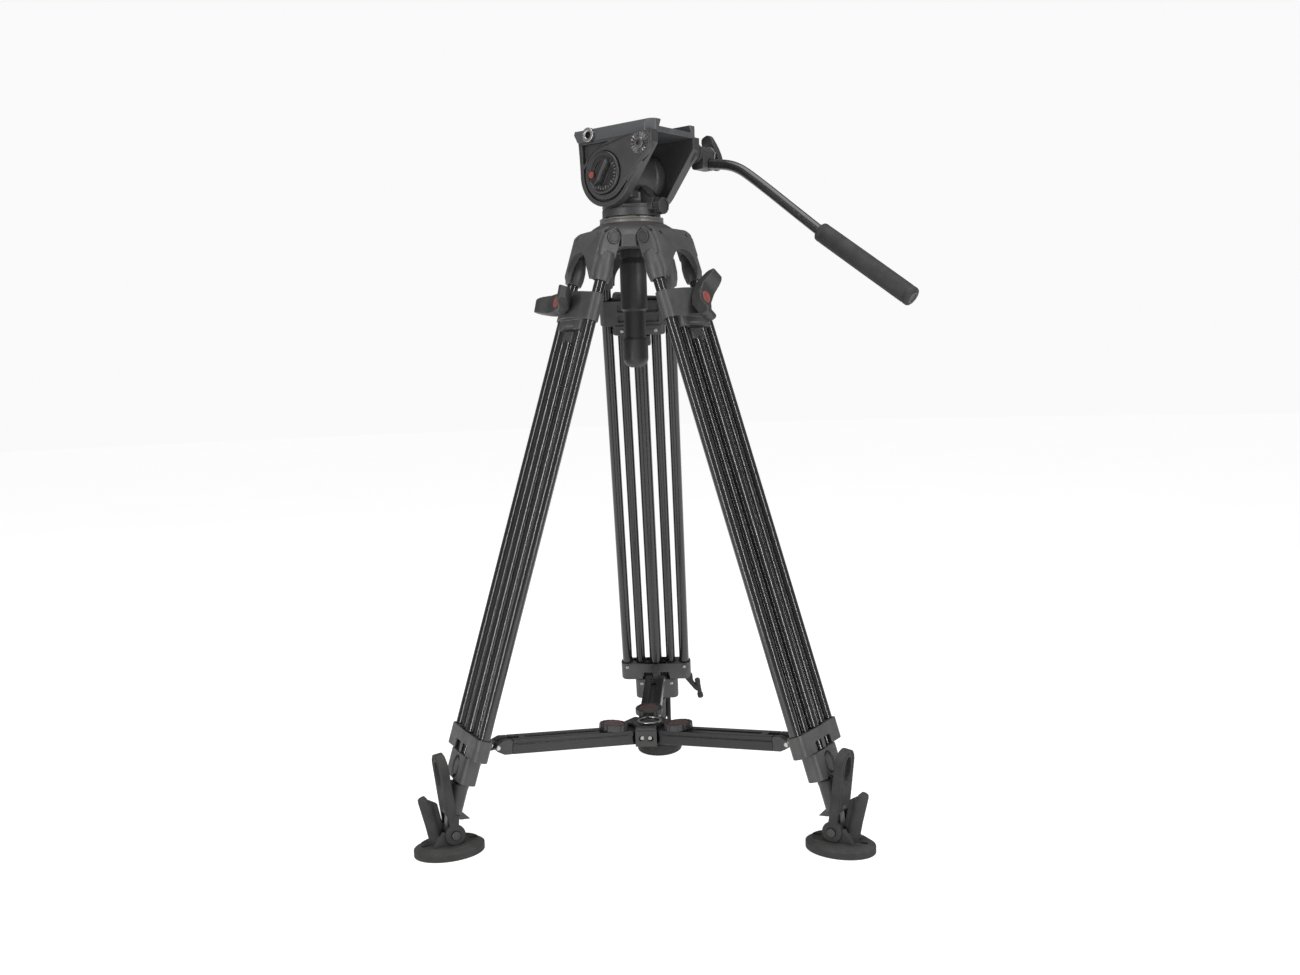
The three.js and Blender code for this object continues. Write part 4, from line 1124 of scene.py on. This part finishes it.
def cheek():
    """The cheek on the -X side, with its rim, its raised cover and two curved ribs."""
    outline = cheek_outline()
    bed = 6
    body = slab("X", outline, -CHEEK_OUT, -CHEEK_IN)
    field = slab("X", inset(outline, 6), -CHEEK_OUT - 1, bed - CHEEK_OUT)
    body = cut(body, field)
    cover = join(
        slab("X", teardrop(33.5, 16.5), -CHEEK_OUT - 0.5, -CHEEK_OUT + bed + 1),
        slab("X", teardrop(31.2, 14.4), -CHEEK_OUT - 2.6, -CHEEK_OUT),
    )
    ribs = []
    for r in (84, 76):
        section = [(r, -50), (r, -42), (r - 3.6, -42), (r - 3.6, -50)]
        ring = turned("X", section, RIB_Y, RIB_Z, 128, hollow=True)
        ribs.append(common(
            ring, slab("X", inset(outline, 4), -52, -40), block((-60, 0), (-58, 60), (860, 920)),
        ))
    body = join(body, cover, *ribs)
    well = rod("X", 27.6, -60, 0.5 - CHEEK_OUT, 0, TILT_Z, 96)
    journal = rod("X", 20 + GAP, -60, -20, 0, TILT_Z, 64)
    seat = rod("X", SOCKET_R, -60, -38, SOCKET_Y, SOCKET_Z)
    return edged(cut(body, well, journal, seat), 0.8, 3, 35)


def right_cheek():
    outline = cheek_outline()
    body = slab("X", outline, CHEEK_IN, CHEEK_OUT)
    field = slab("X", inset(outline, 6), CHEEK_OUT - 4, CHEEK_OUT + 1)
    cover = slab("X", teardrop(34, 15.5), CHEEK_OUT - 5, CHEEK_OUT + 1)
    boss = rod("X", 12, CHEEK_OUT - 1, CHEEK_OUT + 8, ROSETTE_Y, ROSETTE_Z)
    stud = rod("X", 4, CHEEK_OUT, BAR_X + 4, ROSETTE_Y, ROSETTE_Z)
    cap = turned("X", [
        (24, CHEEK_OUT), (24, CHEEK_OUT + 2.4), (22.6, CHEEK_OUT + 3.4), (18, CHEEK_OUT + 3.4),
        (17.4, CHEEK_OUT + 2.6), (5, CHEEK_OUT + 2.6),
    ], 0, TILT_Z, 72)
    body = join(cut(body, field), cover, boss, stud)
    return edged(join(cut(body, rod("X", 20 + GAP, 30, 49, 0, TILT_Z, 64)), cap), 0.8, 3, 35)


def platform():
    """Camera platform: two rails with chamfered tops and the dovetail channel between them."""
    half, bottom = CHEEK_OUT + 0.6, RAIL_BOTTOM - 2.2
    section = [
        (-half, bottom), (half, bottom), (half, 908.4), (half - 5, RAIL_TOP), (30.2, RAIL_TOP),
        (CHANNEL_LIP, 912.8), (CHANNEL_HALF, CHANNEL_FLOOR), (-CHANNEL_HALF, CHANNEL_FLOOR),
        (-CHANNEL_LIP, 912.8), (-30.2, RAIL_TOP), (5 - half, RAIL_TOP), (-half, 908.4),
    ]
    body = slab("Y", section, RAIL_REAR, RAIL_FRONT)
    corners = []
    for side in (-1, 1):
        corners.append(slab(
            "Z", [(side * 39, RAIL_REAR - 1), (side * 52, RAIL_REAR - 1), (side * 52, RAIL_REAR + 11)],
            890, 920,
        ))
    undercut = slab("X", [
        (RAIL_FRONT - 8.5, bottom - 0.1), (RAIL_FRONT + 0.1, RAIL_TOP + 0.1),
        (RAIL_FRONT + 6, RAIL_TOP + 0.1), (RAIL_FRONT + 6, bottom - 0.1),
    ], -60, 60)
    seat = rod("X", SOCKET_R, -60, -41, SOCKET_Y, SOCKET_Z)
    holes = [rod("Z", 3.4, 902, 906, x, y) for x in (-18, 18) for y in (-62, 40)]
    return edged(cut(body, seat, undercut, *corners, *holes), 0.7, 3)


def rosette():
    """Ring of radial teeth, deeper at the rim, round a hollow hub."""
    teeth, steps = 18, 4
    outline = circle(13, ROSETTE_Y, ROSETTE_Z, teeth * steps)
    inner = circle(6.4, ROSETTE_Y, ROSETTE_Z, teeth * steps)
    x = -CHEEK_OUT - 2.4

    def toothed(points, depth):
        waves = [0.5 + 0.5 * math.cos(2 * math.pi * i / steps) for i in range(len(points))]
        return [(x - depth * wave, a, b) for wave, (a, b) in zip(waves, points)]

    crest, dip = toothed(outline, 2.4), toothed(inner, 1.3)
    back = [(-CHEEK_OUT + 1, a, b) for a, b in outline]
    root = [(-CHEEK_OUT + 1, a, b) for a, b in inner]
    ring = through([back, crest, dip, root], loop=True)
    hub = turned("X", [
        (6.9, -CHEEK_OUT + 1), (6.9, x - 2.2), (6.2, x - 3), (3.6, x - 3), (3.4, x + 1), (0.5, x + 1),
    ], ROSETTE_Y, ROSETTE_Z)
    return smooth(join(ring, hub), 25)


def accessory_ring():
    x = -CHEEK_OUT
    profile = [
        (5, x + 6), (5, x - GAP), (8.8, x - GAP), (9.3, x - 0.9), (9.3, x - 5.6), (8.6, x - 6.5),
        (5.6, x - 6.5), (4.3, x - 5.2), (4.3, x + 6),
    ]
    ring = turned("X", profile, SOCKET_Y, SOCKET_Z, 72, hollow=True)
    nicks = [rod("X", 0.9, x - 8, x - 1.4, u, v, 12) for u, v in circle(9.9, SOCKET_Y, SOCKET_Z, 12)]
    return edged(cut(ring, *nicks), 0.25, 1, 40)


def drag_knob():
    """Dial with an S-shaped grip ridge between two hollows."""
    x = -CHEEK_OUT - GAP
    dial = turned("X", [
        (26.4, x), (26.7, x - 1), (26.7, x - 4.6), (25.6, x - 5.8), (23.6, x - 6.2), (22.4, x - 4.2),
        (16, x - 4.2), (15, x - 1.6), (2, x - 1.4),
    ], 0, TILT_Z, 96)
    layers = []
    for height, long, wide in ((0.5, 1, 1), (8.6, 0.97, 0.8), (11.6, 0.93, 0.5), (12.4, 0.86, 0.3)):
        outline = softened([
            (-22 * long, -4 * long), (-12 * long, -7.5 * wide), (2 * long, -4.5 * wide),
            (12 * long, -5 * wide), (22.4 * long, 3 * long), (13 * long, 7.5 * wide),
            (-2 * long, 4.5 * wide), (-13 * long, 4.5 * wide),
        ], 6, 5)
        layers.append([(x - height, a, TILT_Z + b) for a, b in outline])
    there, back = Matrix.Translation((0, 0, TILT_Z)), Matrix.Translation((0, 0, -TILT_Z))
    ridge = moved(through(layers), there @ Matrix.Rotation(math.radians(-64), 4, "X") @ back)
    return edged(join(dial, ridge), 0.5)


def dial_ticks():
    """Raised tick marks round the drag knob, long ones at every third."""
    x = -CHEEK_OUT - GAP - 4.1
    ticks = []
    for i in range(15):
        long = i % 3 == 0
        tick = block((x - 0.5, x + 0.3), (17.2 if long else 19.2, 21.6), (-0.35, 0.35))
        ticks.append(posed(tick, (0, 0, TILT_Z), 150 + i * 12))
    return smooth(gathered(ticks), 30)


def bar_point(t):
    """Catmull-Rom point on the bar's route, with t from 0 to 1, as (y, z)."""
    route = [Vector(p) for p in BAR_ROUTE]
    route = [route[0] * 2 - route[1], *route, route[-1] * 2 - route[-2]]
    s = min(t, 0.99999) * (len(route) - 3)
    i, u = int(s) + 1, s % 1
    a, b, c, d = route[i - 1:i + 3]
    return 0.5 * (
        2 * b + (c - a) * u + (2 * a - 5 * b + 4 * c - d) * u ** 2 + (3 * b - a - 3 * c + d) * u ** 3
    )


def ring_about(point, across, r, sides=48):
    """A ring round a (y, z) point of the bar, square to its run."""
    return [(BAR_X + u, point.x + across.x * v, point.y + across.y * v) for u, v in circle(r, sides=sides)]


def swept(points, radii, sides=48):
    """A round body along (y, z) points in the bar's plane."""
    rings = []
    for i, point in enumerate(points):
        ahead = points[min(i + 1, len(points) - 1)] - points[max(i - 1, 0)]
        across = Vector((-ahead.y, ahead.x)).normalized()
        rings.append(ring_about(point, across, radii[i], sides))
    return through(rings)


def pan_bar():
    points = [bar_point(i / 60) for i in range(61)]
    return smooth(swept(points, [BAR_R - 0.8] + [BAR_R] * 60), 50)


def bar_grip():
    start, end = [Vector(p) for p in GRIP_ENDS]
    profile = [
        (0, 7.2), (0.004, 10.4), (0.012, 11.8), (0.025, GRIP_R), (0.04, GRIP_R), (0.045, 11.7),
        (0.055, 11.7), (0.06, GRIP_R), (0.5, GRIP_R + 0.1), (0.94, GRIP_R), (0.945, 11.7), (0.955, 11.7),
        (0.96, GRIP_R), (0.985, GRIP_R), (0.996, 11.4), (1, 10.4),
    ]
    points = [start.lerp(end, t) for t, _ in profile]
    return smooth(swept(points, [r for _, r in profile], 64), 50)


def grip_plug():
    start, end = [Vector(p) for p in GRIP_ENDS]
    profile = [(0.97, 8), (1.002, 8), (1.006, 7.2), (1.006, 5.2), (1.001, 4.8), (1.001, 0.5)]
    direction = (end - start).normalized()
    across = Vector((-direction.y, direction.x))
    return smooth(through([ring_about(start.lerp(end, t), across, r) for t, r in profile]), 30)


def bar_clamp():
    x0, x1 = CHEEK_OUT + 8 + GAP, BAR_X + 10
    y, z = ROSETTE_Y, ROSETTE_Z
    flange = turned("X", [
        (13, x0), (13, x0 + 3.4), (12.3, x0 + 4), (12.3, x0 + 5.4), (10.2, x0 + 7), (10.2, x0 + 12),
    ], y, z)
    profile = softened([(y - 10, z + 2), (y - 11, z - 20.5), (y + 9, z - 20.5), (y + 10, z + 2)], 5, 4)
    shape = join(flange, slab("X", profile, x0 + 8, x1 - 1), rod("X", 10.2, x0 + 3, x1, y, z))
    tunnel = swept([bar_point(i / 24) for i in range(-2, 12)], [BAR_R + GAP] * 14)
    split = block((BAR_X - 0.7, BAR_X + 0.7), (y - 20, y + 20), (z - 30, z - 12))
    return edged(cut(shape, tunnel, split, rod("X", BOLT_HOLE_R, x0 - 1, x1 + 1, y, z)), 0.8, 3, 35)


def clamp_ring():
    x = BAR_X + 8
    ring = turned(
        "X", [(9.8, x), (11.5, x), (11.5, x + 1.6), (9.8, x + 1.6)], ROSETTE_Y, ROSETTE_Z, 64,
        hollow=True,
    )
    return edged(ring, 0.25, 1)


def wing_blade():
    """Paddle-shaped knob standing across the clamp's bolt."""
    x0 = BAR_X + 10 + GAP
    paddle = softened(
        [(-20, -6), (-8, -11), (10, -11), (30, -8), (30, 8), (10, 11), (-8, 11), (-20, 6)], 7, 5,
    )
    blade = slab("X", [(b, a) for a, b in paddle], x0 + 3, x0 + 14)
    waist = [rod("Y", 11, -20, 20, x0 - 3, z) for z in (-19, 24)]
    hub = turned("X", [(8.5, x0), (8.5, x0 + 6), (7, x0 + 10)])
    shape = cast(cut(join(hub, cut(blade, *waist)), rod("X", BOLT_HOLE_R, 0, x0 + 6)), 0.6, 6, 0.3)
    return shifted(spun(shape, -24, "X"), 0, ROSETTE_Y, ROSETTE_Z)


def drag_mark():
    """Red dot on the drag knob."""
    return smooth(turned("X", [(4.2, -54), (4.2, -56.2), (3.5, -56.8), (0.5, -56.8)], 18.6, TILT_Z - 1), 30)


def head_piece(name, shape, material, body, node, slot=None):
    piece(name, shape, material, HEAD, body, node, slot)


head_piece("pan_housing_casting", pan_base(), CAST_DARK, "pan_housing", "pan_base")
head_piece("pan_lock_dial", pan_lock(), PLASTIC, "pan_lock", "pan_lock_knob")
# The drum takes the dark moulded plastic in place of its cast grey: painted shade between the cheeks.
head_piece("tilt_drum_in_painted_shade", cartridge(), PLASTIC, "pan_housing", "tilt_cartridge", "cast_grey")
head_piece("left_cheek", cheek(), CAST_DARK, "tilt_cradle", "tilt_cradle")
head_piece("right_cheek", right_cheek(), CAST_DARK, "tilt_cradle", "tilt_cradle")
head_piece("camera_platform", platform(), RAIL, "tilt_cradle", "tilt_cradle")
head_piece("left_rosette", rosette(), TEETH, "tilt_cradle", "tilt_cradle")
head_piece("accessory_ring", accessory_ring(), STEEL, "tilt_cradle", "accessory_bushing")
head_piece("drag_dial", drag_knob(), SHINY_PLASTIC, "tilt_drag", "tilt_drag_knob")
head_piece("drag_dial_ticks", dial_ticks(), PALE, "tilt_drag", "tilt_drag_knob")
head_piece("drag_dial_mark", drag_mark(), RED, "tilt_drag", "tilt_drag_knob")
head_piece("handle_clamp", bar_clamp(), CAST_DARK, "pan_bar", "bar_clamp")
head_piece("clamp_ring", clamp_ring(), STEEL, "pan_bar", "bar_clamp")
head_piece("handle_tube", pan_bar(), BAR, "pan_bar", "pan_bar")
head_piece("handle_grip", bar_grip(), FOAM, "pan_bar", "bar_grip")
head_piece("handle_end_plug", grip_plug(), PLASTIC, "pan_bar", "bar_grip", "black_rubber")
head_piece("handle_wing_knob", wing_blade(), PLASTIC, "bar_lock", "bar_wing_knob")

# --- floor and light

bpy.context.scene.view_settings.view_transform = "Standard"
FLOOR_R, FLOOR_GLOW = 12000, 0.82
LIGHT_TARGET = Vector((0, 0, 0.5))
ROOM_LIGHT, BACKDROP = 0.26, 0.955   # the backdrop is as bright as the far floor, which hides its edge


def make_floor():
    graph = Graph("studio_floor")
    tone = graph.mixed(graph.ranged(graph.noise(0.5, 3), 0, 1), grey(0.5), grey(0.54))
    rough = graph.ranged(graph.noise(0.05, 4), 0.55, 0.7)
    graph.fill(graph.shader, {
        "Base Color": tone, "Roughness": rough, "Emission Color": grey(1), "Emission Strength": FLOOR_GLOW,
    })
    floor = smooth(turned("Z", [(FLOOR_R, -6), (FLOOR_R, 0)], sides=128))
    floor.data.transform(Matrix.Scale(MM, 4))
    floor.name = "studio_floor"
    floor.data.materials.append(graph.material)


def make_light(name, place, size, power):
    """A soft rectangular light; size is its width and height."""
    data = bpy.data.lights.new(name, "AREA")
    data.shape = "RECTANGLE"
    data.size, data.size_y = size
    data.energy = power
    light = bpy.data.objects.new(name, data)
    bpy.context.scene.collection.objects.link(light)
    light.location = place
    light.rotation_euler = (LIGHT_TARGET - Vector(place)).to_track_quat("-Z", "Y").to_euler()


def make_world():
    """A dim room for lighting, seen as a backdrop of the same tone as the far floor."""
    world = bpy.data.worlds.new("studio")
    world.use_nodes = True
    tree = world.node_tree
    room = tree.nodes["Background"]
    room.inputs["Color"].default_value = (1, 1, 1, 1)
    room.inputs["Strength"].default_value = ROOM_LIGHT
    backdrop = tree.nodes.new("ShaderNodeBackground")
    backdrop.inputs["Color"].default_value = (1, 1, 1, 1)
    backdrop.inputs["Strength"].default_value = BACKDROP
    choice = tree.nodes.new("ShaderNodeMixShader")
    ray = tree.nodes.new("ShaderNodeLightPath")
    tree.links.new(ray.outputs["Is Camera Ray"], choice.inputs[0])
    tree.links.new(room.outputs[0], choice.inputs[1])
    tree.links.new(backdrop.outputs[0], choice.inputs[2])
    tree.links.new(choice.outputs[0], tree.nodes["World Output"].inputs["Surface"])
    bpy.context.scene.world = world


make_floor()
make_world()
make_light("top_softbox", (0.2, -0.5, 2.6), (1.8, 1.8), 30)
make_light("left_strip", (-1.3, -1.9, 1.0), (0.12, 2.2), 26)
make_light("right_strip", (1.6, -1.5, 1.0), (0.12, 2.2), 24)
